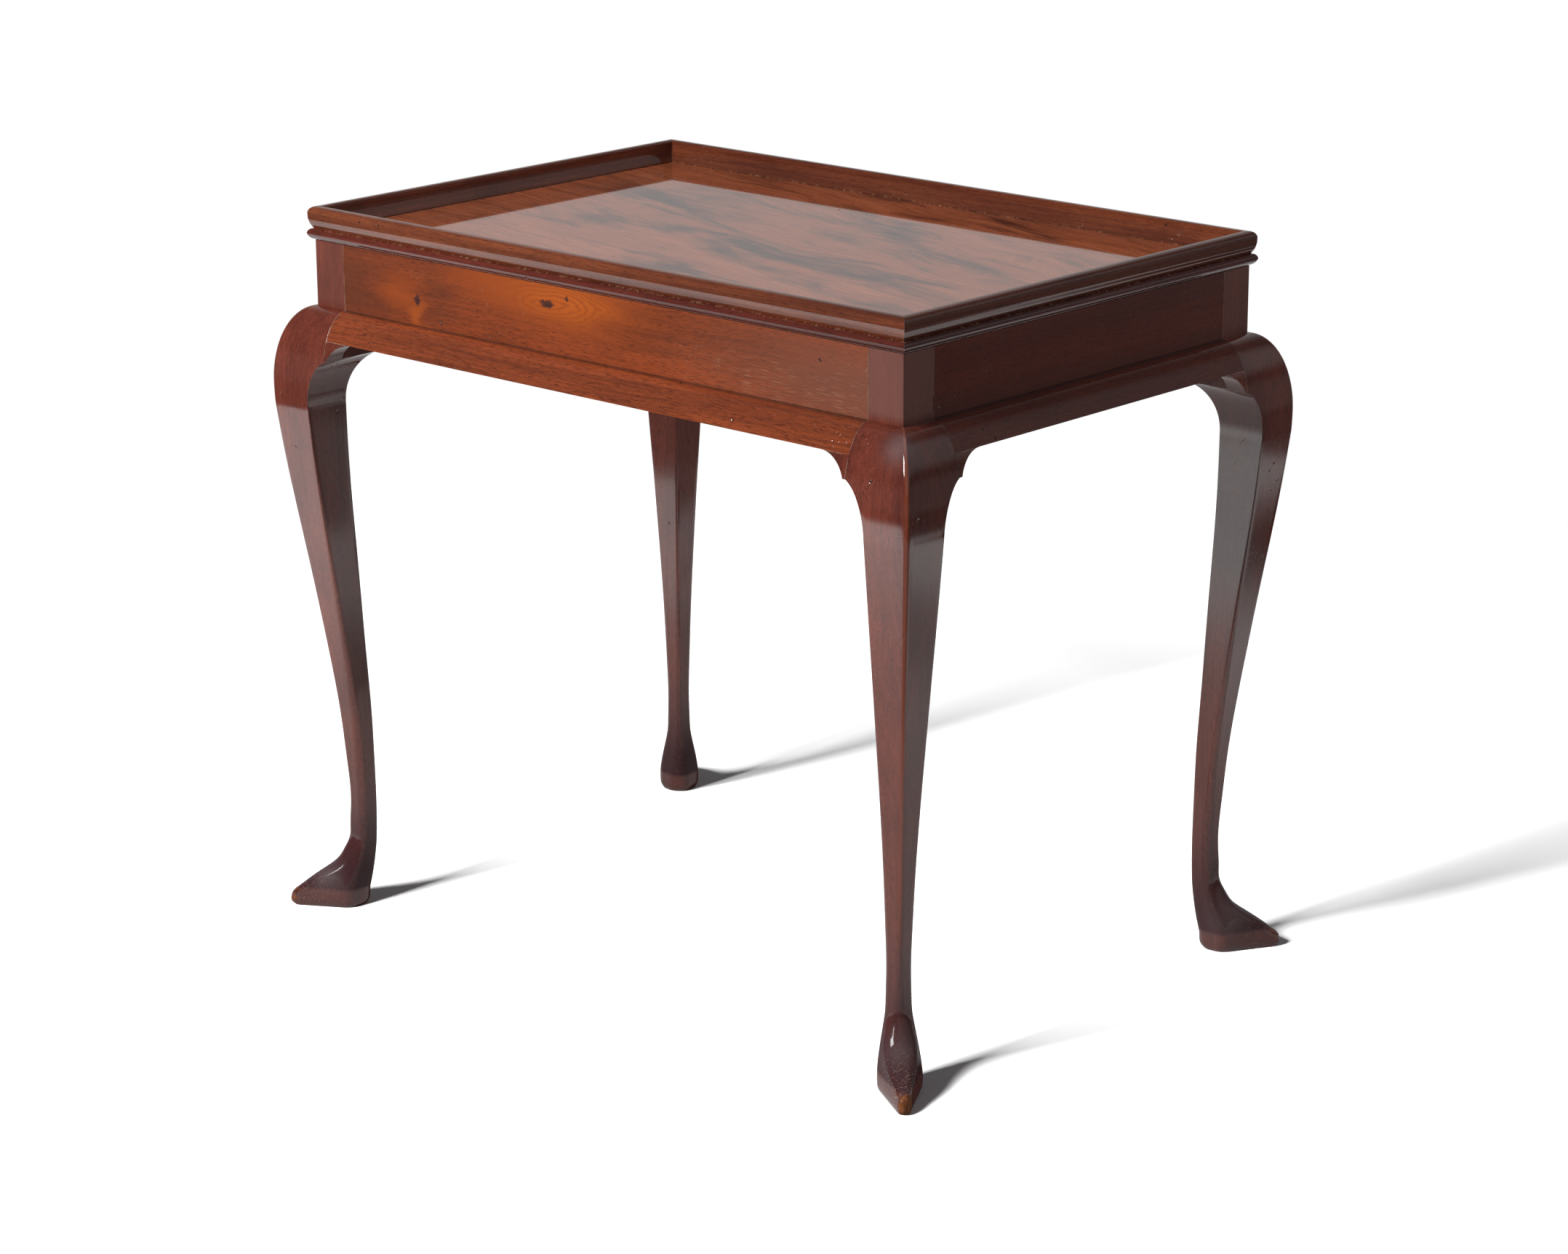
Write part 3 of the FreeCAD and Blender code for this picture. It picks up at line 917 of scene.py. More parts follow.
    def flame_board(self, under: float) -> bpy.types.Material:
        """Finish of the tray board: dark smoky flames on pinkish brown, bare on its underside.

        Args:
            under: Height of the board's underside.

        Returns:
            The material.
        """
        polish = self.BOARD
        sketch, shader, material = polish.start()
        place = sketch.place()
        along, _, height = sketch.axes(place)
        run = sketch.turned(place, (0.0, 0.0, self.FLAME_TURN))
        warped = sketch.drifted(run, (3.0, 5.0, 0.0), (0.20, 0.10, 0.0), 3.0, 0.55)
        flame = sketch.noise(warped, (3.4, 13.0, 0.0), 5.0, 0.6).outputs["Fac"]
        smoke = sketch.times(sketch.noise(warped, (11.0, 60.0, 0.0), 4.0, 0.6).outputs["Fac"], 0.4)
        plainer_ends = sketch.ramp(sketch.math("ABSOLUTE", along), 0.24, 0.34, 1.0, 0.3)
        dark = sketch.times(sketch.ramp(sketch.math("ADD", flame, smoke), 0.62, 0.84), plainer_ends)
        figure = sketch.group(self.effects.grain, Vector=warped).outputs
        colour = sketch.mix(dark, sketch.mix(figure["Streak"], self.FLAME_PLAIN, polish.warm), polish.deep)
        tongues = sketch.veil(warped, (4.5, 38.0, 0.0), 0.52, 0.66, 3.0, 0.6)
        colour = sketch.mix(sketch.times(tongues, 0.5), colour, self.FLAME_BRIGHT)
        colour = sketch.mix(sketch.times(figure["Pores"], polish.pore_share), colour, polish.pore)
        below = sketch.ramp(height, *(under + depth for depth in self.SKIN), 1.0, 0.0)
        colour = sketch.mix(below, colour, sketch.mix(figure["Streak"], *self.BOARD_BACK))
        polish.surface(sketch, shader, self.effects, place, 0.0, colour, below)
        return material

    def pine(self) -> bpy.types.Material:
        """Bare pine of the glue blocks, browned with age.

        Returns:
            The material.
        """
        sketch, shader, material = self.PINE.start()
        colour, _ = self.PINE.wood(sketch, self.effects, sketch.place())
        sketch.feed_all(shader, {"Coat Weight": 0.0, "Roughness": self.PINE_ROUGHNESS, "Base Color": colour})
        return material

    def iron(self) -> bpy.types.Material:
        """Dull iron of the screws, with rust in patches.

        Returns:
            The material.
        """
        sketch, shader, material = new_material("old_iron")
        rust = sketch.veil(sketch.place(), (320.0, 320.0, 320.0), 0.45, 0.62, 4.0, 0.65)
        sketch.feed_all(shader, {"Base Color": sketch.mix(rust, (0.16, 0.15, 0.14), (0.12, 0.045, 0.018)),
                                 "Metallic": sketch.ramp(rust, 0.0, 1.0, 0.9, 0.1),
                                 "Roughness": sketch.ramp(rust, 0.0, 1.0, 0.42, 0.85)})
        return material


@dataclass
class Frame:
    """Sizes of the frame that the other pieces meet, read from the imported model."""

    length: float
    depth: float
    leg_height: float
    rail_top: float
    rail_bottom: float
    tray_top: float
    tray_floor: float
    post: float = 0.0395

    @classmethod
    def from_pack(cls) -> "Frame":
        """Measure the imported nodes.

        Returns:
            The sizes.
        """
        rail_low, rail_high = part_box("frieze_rail_front")
        end_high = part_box("frieze_rail_right")[1]
        moulding_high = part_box("cushion_moulding_front")[1]
        board_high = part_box("tray_board")[1]
        rim_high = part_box("tray_rim_front")[1]
        return cls(length=end_high.x * 2, depth=-rail_low.y * 2, leg_height=moulding_high.z,
                   rail_top=rail_high.z, rail_bottom=rail_low.z, tray_top=rim_high.z, tray_floor=board_high.z)

    def run(self, side: Side) -> float:
        """Length of a side over the posts."""
        return self.length if side.is_long else self.depth

    def half_clear(self, side: Side) -> float:
        """Half of a side's length between the posts."""
        return self.run(side) / 2 - self.post

    def reach(self, side: Side) -> float:
        """Distance of a side's face from the middle of the table."""
        return (self.depth if side.is_long else self.length) / 2

    def at_side(self, points: np.ndarray, side: Side) -> np.ndarray:
        """Move points made for a front at Y = 0 to their side of the table.

        Args:
            points: Points with -Y outwards.
            side: Side of the table.

        Returns:
            The points in the table's frame.
        """
        moved = points.copy()
        moved[..., 1] -= self.reach(side)
        return quarter_turned(moved, side.value)

    def at_corner(self, points: np.ndarray, corner: Corner) -> np.ndarray:
        """Move points made for the back right corner, whose post has its outer corner at zero, to a corner.

        Args:
            points: Points of the leg.
            corner: Corner of the table.

        Returns:
            The points in the table's frame.
        """
        moved = quarter_turned(points, corner.value)
        moved[..., 0] += self.length / 2 * (1 if corner in (Corner.BACK_RIGHT, Corner.FRONT_RIGHT) else -1)
        moved[..., 1] += self.depth / 2 * (1 if corner in (Corner.BACK_RIGHT, Corner.BACK_LEFT) else -1)
        return moved


@dataclass
class Knee:
    """The knee's outline, which the legs, the mouldings and the blocks share."""

    frame: Frame
    reach: float = 0.033
    drop: float = 0.0735
    flare_drop: float = 0.0945
    flare_rise: float = 0.048
    flare_turn: float = math.radians(72)
    flare_reach_share: float = 0.985

    @property
    def height(self) -> float:
        """Height of the knee's widest place."""
        return self.frame.leg_height - self.drop

    @property
    def flare_foot(self) -> float:
        """Height where the inner faces start to sweep out."""
        return self.frame.leg_height - self.flare_drop

    @property
    def flare_head(self) -> float:
        """Height where the inner faces reach the post's."""
        return self.flare_foot + self.flare_rise

    def turn_at(self, height: float) -> float:
        """Angle on the ellipse at which it stands at a height."""
        return math.asin((height - self.height) / self.drop)

    def out(self, height: np.ndarray) -> np.ndarray:
        """How far the knee stands past the post: an ellipse above its widest place, a square law below.

        Args:
            height: Heights to work out.

        Returns:
            The distances outwards.
        """
        rise = height - self.height
        fall = rise / (self.flare_foot - self.height)
        below = blend(self.reach, self.reach * self.flare_reach_share, fall ** 2)
        above = self.reach * np.sqrt(np.clip(1 - (rise / self.drop) ** 2, 0, 1))
        return np.where(rise < 0, below, above)


@dataclass(frozen=True)
class Haze:
    """Painted sheen on a leg, a pale patch for a highlight: its middle in the leg's own frame, its spread and
    share.
    """

    middle: Triple
    spread: float
    share: float


@dataclass(frozen=True)
class LegWear:
    """How far a leg's polish is worn off the toe, how far its post is bleached and painted with sheen, and
    its patches of painted sheen.
    """

    toe: float = 0.5
    post: float = 0.4
    painted_sheens: tuple[Haze, ...] = ()


LEG_WEAR = {Corner.FRONT_RIGHT: LegWear(1.0, 0.7, (Haze((0.018, 0.011, 0.601), 0.010, 0.4),
                                                   Haze((0.003, 0.003, 0.045), 0.012, 0.25))),
            Corner.FRONT_LEFT: LegWear(0.55, 0.25, (Haze((-0.004, 0.024, 0.036), 0.010, 0.6),)),
            Corner.BACK_RIGHT: LegWear(painted_sheens=(Haze((0.004, -0.012, 0.034), 0.016, 0.25),)),
            Corner.BACK_LEFT: LegWear()}


@dataclass
class Leg:
    """A cabriole leg: kite-shaped rounded sections, carried up from the sole to the post's head."""

    frame: Frame
    knee: Knee
    ankle_height: float = 0.106
    ankle_size: float = 0.0209
    ankle_setback: float = 0.0091
    ankle_arris: float = 0.0045
    ankle_side_arris: float = 0.0083
    knee_size: float = 0.0497
    knee_arris: float = 0.0045
    post_arris: float = 0.0012
    eased_arris: float = 0.0006
    sole_height: float = 0.015
    sole_undercut: float = 0.004
    toe_reach: float = 0.0480
    toe_round: float = 0.0056
    instep_swell: float = 0.0105
    foot_middle: float = -0.012
    foot_half_width: float = 0.0224
    heel_point: float = -0.0395
    heel_round: float = 0.014
    arc_points: int = 9
    side_points: int = 9
    sole_rings: int = 12
    instep_rings: int = 60
    shank_rings: int = 90
    knee_rings: int = 26
    post_rings: int = 8
    toe_patch: Triple = (0.011, 0.009, 0.012)
    toe_patch_shift: tuple[float, float] = (-0.003, 0.002)
    shoulder_width: float = 0.0020
    shoulder_share: float = 0.60
    knee_rub: float = 0.7
    shank_rub: float = 0.1
    knee_rub_drop: float = 0.03
    soil_share: float = 0.85
    soil_clear: float = 0.006
    soil_top: float = 1.4
    sole_soil: float = 0.3
    scuff_top: float = 1.15
    wear_setback: float = 0.3
    # Share of the warm tint painted along the outer ridge, in place of the dark that the ridge reflects.
    painted_ridge_share: float = 0.75
    ridge_rise: float = 0.1
    grain_step: float = 0.37

    # Shares of the sole's height, and of the undercut at the toe and at the sides.
    SOLE_SHARES = ((0.0, 0.90, 1.00), (0.2, 0.10, 0.45), (0.6, 0.00, 0.07))
    # Shares of the instep's height, and of the way from ankle to foot of the tip, width, middle and heel.
    INSTEP_SHARES = ((0.00, 0.95, 1.00, 1.00, 1.00), (0.06, 0.83, 0.96, 0.91, 0.93),
                     (0.14, 0.67, 0.82, 0.74, 0.78), (0.25, 0.43, 0.58, 0.52, 0.58),
                     (0.39, 0.20, 0.32, 0.29, 0.36), (0.55, 0.07, 0.13, 0.12, 0.16),
                     (0.74, 0.02, 0.03, 0.03, 0.05), (1.00, 0.00, 0.00, 0.00, 0.00))
    # Shares of the shank's height, and of the way from the ankle's place, size and side arris to the knee's.
    SHANK_SHARES = ((0.11, 0.04, 0.04, 0.08), (0.23, 0.12, 0.12, 0.19), (0.37, 0.26, 0.24, 0.41),
                    (0.62, 0.56, 0.53, 0.68), (0.87, 0.87, 0.84, 0.92), (1.00, 1.00, 1.00, 1.00))

    @staticmethod
    def _kites(height: np.ndarray, outer: np.ndarray, middle: np.ndarray, half_width: np.ndarray,
               inner: np.ndarray, rounds: tuple[Level, ...]) -> np.ndarray:
        """Stack section rows: height, outer, middle, half width, inner and three roundings."""
        return np.stack(np.broadcast_arrays(height, outer, middle, half_width, inner, *rounds), axis=-1)

    def _foot_rows(self) -> np.ndarray:
        """Rows of the sole and the instep, whose straight sides meet past the rounded toe's tip.

        Returns:
            The section rows.
        """
        tip_at_ankle = -self.ankle_setback * ROOT_TWO - self.ankle_arris * (ROOT_TWO - 1)
        heel_at_ankle = -(self.ankle_setback + self.ankle_size) * ROOT_TWO
        middle_at_ankle = heel_at_ankle / 2 - self.ankle_setback / ROOT_TWO
        sole = np.array(self.SOLE_SHARES)
        draw = self.sole_undercut * sole[:, 2]
        instep = np.array(self.INSTEP_SHARES)
        height = np.concatenate([self.sole_height * sole[:, 0],
                                 blend(self.sole_height, self.ankle_height, instep[:, 0])])
        tip = np.concatenate([self.toe_reach - self.sole_undercut * sole[:, 1],
                              blend(tip_at_ankle, self.toe_reach, instep[:, 1])])
        half_width = np.concatenate([self.foot_half_width - draw,
                                     blend(self.ankle_size / ROOT_TWO, self.foot_half_width, instep[:, 2])])
        middle = np.concatenate([np.full(len(sole), self.foot_middle),
                                 blend(middle_at_ankle, self.foot_middle, instep[:, 3])])
        share = np.concatenate([np.ones(len(sole)), instep[:, 4]])
        heel = np.concatenate([self.heel_point + draw, blend(heel_at_ankle, self.heel_point, instep[:, 4])])
        swell = self.instep_swell * 4 * share * (1 - share)
        tip_round = blend(self.ankle_arris, self.toe_round, share) + swell
        slope = tip_round / half_width
        reach = tip - tip_round - middle
        root = np.sqrt((slope * reach) ** 2 + (1 - slope ** 2) * tip_round ** 2)
        toe = middle + (reach + root) / (1 - slope ** 2)
        rounds = (tip_round, blend(self.ankle_side_arris, self.heel_round, share),
                  blend(self.ankle_arris, self.heel_round, share))
        return self._kites(height, toe, middle, half_width, heel, rounds)

    def _square_rows(self, height: np.ndarray, out: np.ndarray, inset: Level,
                     rounds: tuple[Level, ...]) -> np.ndarray:
        """Rows of square sections, whose faces stand out past the post's faces and inset behind them."""
        return self._kites(height, out * ROOT_TWO, (out - inset) / ROOT_TWO, (out + inset) / ROOT_TWO,
                           -inset * ROOT_TWO, rounds)

    def _lower_rows(self) -> np.ndarray:
        """Rows of the foot and the shank: a cubic through their key sections.

        Returns:
            The section rows.
        """
        flare_foot = self.knee.flare_foot
        shank = np.array(self.SHANK_SHARES)
        out = blend(-self.ankle_setback, self.knee.reach * self.knee.flare_reach_share, shank[:, 1])
        size = blend(self.ankle_size, self.knee_size, shank[:, 2])
        rounds = (blend(self.ankle_arris, self.knee_arris, shank[:, 0]),
                  blend(self.ankle_side_arris, self.eased_arris, shank[:, 3]),
                  blend(self.ankle_arris, self.eased_arris, shank[:, 0]))
        keyed = np.concatenate([self._foot_rows(), self._square_rows(
            blend(self.ankle_height, flare_foot, shank[:, 0]), out, size - out, rounds)])
        height = np.concatenate([np.linspace(0, self.sole_height, self.sole_rings)[:-1],
                                 np.linspace(self.sole_height, self.ankle_height, self.instep_rings)[:-1],
                                 np.linspace(self.ankle_height, flare_foot, self.shank_rings)])
        rows = cubic_through(keyed[:, 0], keyed, height)
        rows[:, 5:] = np.maximum(rows[:, 5:], self.eased_arris)  # the last columns are the roundings
        return rows

    def _rows(self) -> np.ndarray:
        """All section rows: the foot and shank, then the flare, the knee's head and the post.

        Returns:
            The section rows.
        """
        knee, frame, eased = self.knee, self.frame, self.eased_arris
        turn = np.linspace(0, knee.flare_turn, self.knee_rings)[1:]
        height = knee.flare_foot + knee.flare_rise * np.sin(turn) / math.sin(knee.flare_turn)
        sweep = (1 - np.cos(turn)) / (1 - math.cos(knee.flare_turn))
        inset = blend(self.knee_size - knee.reach * knee.flare_reach_share, frame.post, sweep)
        flare = self._square_rows(height, knee.out(height), inset, (self.knee_arris, eased, eased))
        share = np.linspace(0, 1, self.knee_rings)[1:]
        turn = blend(knee.turn_at(knee.flare_head), math.pi / 2, share)
        head = self._square_rows(knee.height + knee.drop * np.sin(turn), knee.reach * np.cos(turn),
                                 frame.post, (blend(self.knee_arris, self.post_arris, share), eased, eased))
        height = np.linspace(frame.leg_height, frame.rail_top, self.post_rings)[1:]
        post = self._square_rows(height, np.zeros_like(height), frame.post, (self.post_arris, eased, eased))
        return np.concatenate([self._lower_rows(), flare, head, post])

    def rings(self) -> tuple[np.ndarray, np.ndarray, np.ndarray]:
        """Points of all sections: at each corner an arc that meets both sides, and straight sides between.

        Returns:
            Rings of X, Y, Z for the back right corner, then how much of an arris and how much of the outer
            ridge each point is.
        """
        height, outer, middle, half, inner, outer_round, side_round, inner_round = self._rows().T
        zero = np.zeros_like(height)
        corners = np.stack([np.stack([outer, zero], -1), np.stack([middle, half], -1),
                            np.stack([inner, zero], -1), np.stack([middle, -half], -1)], axis=1)
        radii = np.stack([outer_round, side_round, inner_round, side_round], axis=1)[..., None]
        back = np.roll(corners, 1, axis=1) - corners
        ahead = np.roll(corners, -1, axis=1) - corners
        back /= np.linalg.norm(back, axis=-1, keepdims=True)
        ahead /= np.linalg.norm(ahead, axis=-1, keepdims=True)
        half_angle = np.arccos(np.clip(np.sum(back * ahead, axis=-1, keepdims=True), -1, 1)) / 2
        inward = back + ahead
        inward /= np.linalg.norm(inward, axis=-1, keepdims=True)
        centre = corners + inward * radii / np.sin(half_angle)
        first = (corners + back * radii / np.tan(half_angle) - centre)[:, :, None]
        last = (corners + ahead * radii / np.tan(half_angle) - centre)[:, :, None]
        turn = (math.pi - 2 * half_angle)[:, :, None]
        share = np.linspace(0, 1, self.arc_points)[None, None, :, None]
        swing = first * np.sin((1 - share) * turn) + last * np.sin(share * turn)
        arcs = centre[:, :, None] + swing / np.sin(turn)
        along = np.linspace(0, 1, self.side_points + 2)[1:-1][None, None, :, None]
        sides = blend(arcs[:, :, -1:], np.roll(arcs, -1, axis=1)[:, :, :1], along)
        ring = np.concatenate([arcs, sides], axis=2).reshape(len(height), -1, 2)
        points = np.stack([(ring[..., 0] - ring[..., 1]) / ROOT_TWO, (ring[..., 0] + ring[..., 1]) / ROOT_TWO,
                           np.broadcast_to(height[:, None], ring.shape[:2])], axis=-1)
        crest = np.zeros(self.arc_points + self.side_points)
        crest[:self.arc_points] = np.sin(np.linspace(0, math.pi, self.arc_points)) ** 2
        blank = np.zeros_like(crest)
        edge = np.concatenate([blank, crest, crest, crest])
        ridge = np.concatenate([crest, blank, blank, blank])
        return points, np.broadcast_to(edge, points.shape[:2]), np.broadcast_to(ridge, points.shape[:2])

    def _worn(self, points: np.ndarray, edge: np.ndarray, ridge: np.ndarray,
              wear: LegWear) -> dict[str, np.ndarray]:
        """Work out where a leg is worn, soiled and bleached, and where it gets painted sheen and a painted
        warm ridge.

        Args:
            points: Points in the leg's own frame.
            edge: How much of an arris each point is.
            ridge: How much of the outer ridge each point is.
            wear: How far this leg is worn.

        Returns:
            Attributes by name.
        """
        height = points[..., 2]
        tip = self.toe_reach / ROOT_TWO + np.array([*self.toe_patch_shift, 0.0])
        tip[2] = self.sole_height / 2
        toe = wear.toe * bell(np.linalg.norm((points - tip) / np.array(self.toe_patch), axis=-1))
        toward_toe = (points[..., 0] + points[..., 1]) / self.toe_reach / ROOT_TWO
        forward = np.clip(toward_toe + self.wear_setback, 0, 1)
        shoulder = np.exp(-((height - self.sole_height) / self.shoulder_width - 1) ** 2)
        is_knee = height > self.knee.flare_foot - self.knee_rub_drop
        foot = height / self.ankle_height
        clear = np.clip((height - self.sole_height) / self.soil_clear, self.sole_soil, 1)
        above_ankle = np.clip((height - self.ankle_height) / self.ridge_rise, 0, 1)
        painted_sheens = [haze.share * bell(np.linalg.norm(points - np.array(haze.middle), axis=-1) / haze.spread)
                 for haze in wear.painted_sheens]
        return {"arris": edge * np.where(is_knee, self.knee_rub, self.shank_rub),
                "bare": np.maximum(toe, self.shoulder_share * shoulder * forward),
                # The post's pale tint is bleached wood with a painted sheen over it.
                "pale": wear.post * (height > self.frame.leg_height + self.eased_arris),
                "soil_and_shade": self.soil_share * np.clip(self.soil_top - foot, 0, 1) * clear,
                # The warm tint on the outer ridge is painted in place of the dark that the ridge reflects.
                "warm": self.painted_ridge_share * ridge * above_ankle * (height < self.frame.leg_height),
                "scuff": wear.toe * np.clip(self.scuff_top - foot, 0, 1) * forward,
                "haze": sum(painted_sheens, np.zeros_like(height))}

    def build(self, corner: Corner, material: bpy.types.Material) -> bpy.types.Object:
        """Make the leg of one corner.

        Args:
            corner: Corner of the table.
            material: Finish.

        Returns:
            The leg.
        """
        points, edge, ridge = self.rings()
        no_joint = np.full(points.shape[:2], FAR)
        marks = {"grain": upright_grain(points) + corner.value * self.grain_step, "joint": no_joint,
                 "shade": no_joint, **self._worn(points, edge, ridge, LEG_WEAR[corner])}
        return make_piece(f"carved_leg_{corner.label}", self.frame.at_corner(points, corner),
                          f"leg_{corner.label}", material, marks)


@dataclass
class Apron:
    """The cushion mouldings and the knee blocks under the frieze."""

    frame: Frame
    knee: Knee
    stations: int = 61
    curve_points: int = 28
    hollow_points: int = 24
    block_length: float = 0.033
    block_toe: float = 0.003
    block_back: float = 0.0095
    hollow_length_share: float = 0.25
    hollow_height_share: float = 0.55
    # Share of painted shade on the end mouldings, which also dulls their coat.
    end_painted_shade: float = 0.65
    moulding_grain: Triple = (0.9, 0.0, 0.23)
    block_grain: tuple[float, float] = (0.11, 0.37)

    def moulding(self, side: Side, material: bpy.types.Material) -> None:
        """Make one cushion moulding: the knee's ellipse, flat below and behind, carried between the posts.

        Args:
            side: Side of the table.
            material: Finish.
        """
        frame, knee = self.frame, self.knee
        turn = np.linspace(knee.turn_at(frame.rail_bottom), math.pi / 2, self.curve_points)
        curve = np.stack([-knee.reach * np.cos(turn), knee.height + knee.drop * np.sin(turn)], axis=-1)
        outline = counter_clockwise(np.concatenate([curve, [[0.0, frame.rail_bottom]]]))
        half = frame.half_clear(side)
        points = np.empty((self.stations, len(outline), 3))
        points[..., 0] = np.linspace(-half, half, self.stations)[:, None]
        points[..., 1:] = outline[None]
        blank = np.zeros(points.shape[:2])
        # The moulding's top, under the frieze, gets a line of painted shade.
        marks = {"grain": points + side.value * np.array(self.moulding_grain), "arris": blank, "bare": blank,
                 "joint": half - np.abs(points[..., 0]), "shade": np.abs(points[..., 2] - frame.leg_height),
                 "soil_and_shade": blank + (0.0 if side.is_long else self.end_painted_shade)}
        make_piece(f"shaped_moulding_{side.label}", frame.at_side(points, side),
                   f"cushion_moulding_{side.label}", material, marks)

    def knee_block(self, side: Side, end: int, corner: Corner, material: bpy.types.Material) -> None:
        """Make one knee block: closed profiles across it, each from the hollow arc up to the moulding.

        Args:
            side: Side of the table.
            end: -1 or 1, the end of the side.
            corner: Corner of the table.
            material: Finish.
        """
        frame, knee = self.frame, self.knee
        root = frame.half_clear(side) * end
        toe, tip = root - self.block_toe * end, root - self.block_length * end
        crown = np.array([blend(toe, tip, self.hollow_length_share),
                          blend(knee.flare_head, frame.rail_bottom, self.hollow_height_share)])
        hollow = arc_through(np.array([toe, knee.flare_head]), crown, np.array([tip, frame.rail_bottom]),
                             self.hollow_points)
        path = np.concatenate([[[root, knee.flare_head]], hollow])[::-end]
        share = np.linspace(0, 1, self.curve_points)
        front = blend(path[:, 1:], frame.rail_bottom, share[None])
        outline_y = np.concatenate([-knee.out(front), np.full((len(path), 2), -self.block_back)], axis=1)
        outline_z = np.concatenate([front, front[:, -1:], front[:, :1]], axis=1)
        outline_x = np.broadcast_to(path[:, :1], outline_y.shape)
        points = np.stack([outline_x, outline_y, outline_z], axis=-1)[:, ::-1]
        from_post, from_rail = np.abs(points[..., 0] - root), np.abs(points[..., 2] - frame.rail_bottom)
        start, step = self.block_grain
        blank = np.zeros(points.shape[:2])
        marks = {"grain": upright_grain(points) + start + corner.value * step, "arris": blank, "bare": blank,
                 "joint": np.minimum(from_post, from_rail), "shade": blank + FAR}
        run = "long" if side.is_long else "short"
        make_piece(f"shaped_block_{corner.label}_{run}", frame.at_side(points, side),
                   f"knee_block_{corner.label}_{run}", material, marks)


@dataclass
class Tray:
    """The tray's mitred mouldings: an astragal edge round the board, and a thumb rim above it."""

    frame: Frame
    inset: float = 0.012
    edge_reach: float = 0.0055
    edge_tuck: float = 0.0015
    rim_reach: float = 0.0046
    groove_reach: float = 0.0005
    lip_inset: float = 0.0063
    arc_points: int = 14
    stations: int = 41
    crest_width: float = 0.0006
    crest_rub: float = 0.8
    mitre_gap: float = 0.0003
    # Share of painted shade on the end edges and rims, which also dulls their coat.
    end_painted_shade: float = 0.3
    grain_step: Triple = (0.7, 0.0, 0.19)

    def _arc(self, low: float, high: float, *steps: tuple[float, float]) -> np.ndarray:
        """Return an arc through three places, each given outwards and as a share of the height."""
        places = (np.array([out, blend(low, high, share)]) for out, share in steps)
        return arc_through(*places, self.arc_points)

    def edge_outline(self) -> np.ndarray:
        """Astragal outline as outward and height: arcs under and over a round nose, flat behind.

        Returns:
            Points of the outline.
        """
        low, high, reach = self.frame.rail_top, self.frame.tray_floor, self.edge_reach
        under = self._arc(low, high, (-self.edge_tuck, 0.0), (reach * 0.65, 0.24), (reach, 0.575))
        over = self._arc(low, high, (reach, 0.575), (reach * 0.74, 0.87), (self.groove_reach, 1.0))
        return np.concatenate([under, over[1:], [[-self.inset, high], [-self.inset, low]]])

    def rim_outline(self) -> np.ndarray:
        """Thumb outline as outward and height: swelling face, narrow crest, rounded lip and hollow back.

        Returns:
            Points of the outline.
        """
        low, high, reach, lip_at = self.frame.tray_floor, self.frame.tray_top, self.rim_reach, self.lip_inset
        swell = self._arc(low, high, (self.groove_reach, 0.0), (reach * 0.71, 0.25), (reach, 0.65))
        nose = self._arc(low, high, (reach, 0.65), (reach * 0.72, 0.885), (-reach * 0.20, 1.0))
        lip = self._arc(low, high, (-lip_at * 0.62, 1.0), (-lip_at * 0.91, 0.965), (-lip_at, 0.88))
        hollow_at = blend(lip_at, self.inset, 0.22)
        hollow = self._arc(low, high, (-lip_at, 0.88), (-hollow_at, 0.45), (-self.inset, 0.05))
        return np.concatenate([swell, nose[1:], lip, hollow[1:], [[-self.inset, low]]])

    def strip(self, name: str, node: str, outline: np.ndarray, side: Side,
              material: bpy.types.Material) -> None:
        """Carry an outline along one side: each point runs as far past the posts as it stands out.

        Args:
            name: Name of the piece.
            node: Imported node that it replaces.
            outline: Outward and height.
            side: Side of the table.
            material: Finish.
        """
        section = counter_clockwise(outline * np.array([-1.0, 1.0]))
        reach = self.frame.run(side) / 2 - section[:, 0]
        along = np.linspace(-1, 1, self.stations)[:, None] * reach[None]
        points = np.stack([along, np.broadcast_to(section[:, 0], along.shape),
                           np.broadcast_to(section[:, 1], along.shape)], axis=-1)
        from_floor = np.abs(section[:, 1] - self.frame.tray_floor)
        crest = self.crest_rub * np.exp(-(from_floor / self.crest_width) ** 2)
        # The rim's inner foot, where it meets the board, gets a line of painted shade.
        shade = np.where(section[:, 0] > 0, from_floor, FAR)
        blank = np.zeros(along.shape)
        marks = {"grain": points + side.value * np.array(self.grain_step), "arris": blank + crest,
                 "bare": blank, "joint": reach[None] - np.abs(along) + self.mitre_gap,
                 "shade": blank + shade, "soil_and_shade": blank + (0.0 if side.is_long else self.end_painted_shade)}
        make_piece(name, self.frame.at_side(points, side), node, material, marks)

    def build(self, side: Side, edge_finish: bpy.types.Material, rim_finish: bpy.types.Material) -> None:
        """Make the edge and the rim of one side.

        Args:
            side: Side of the table.
            edge_finish: Finish of the edge.
            rim_finish: Finish of the rim.
        """
        for part, outline, finish in (("edge", self.edge_outline(), edge_finish),
                                      ("rim", self.rim_outline(), rim_finish)):
            self.strip(f"shaped_{part}_{side.label}", f"tray_{part}_{side.label}", outline, side, finish)


@dataclass(frozen=True)
class Lamp:
    """A square soft lamp: where it hangs, where it points, the length of its sides and its watts."""

    name: str
    place: Triple
    target: Triple
    size: float
    power: float

    def hang(self) -> bpy.types.Object:
        """Add the lamp to the scene.

        Returns:
            The lamp.
        """
        data = bpy.data.lights.new(self.name, "AREA")
        data.size = self.size
        data.energy = self.power
        return add_aimed(data, self.place, self.target)


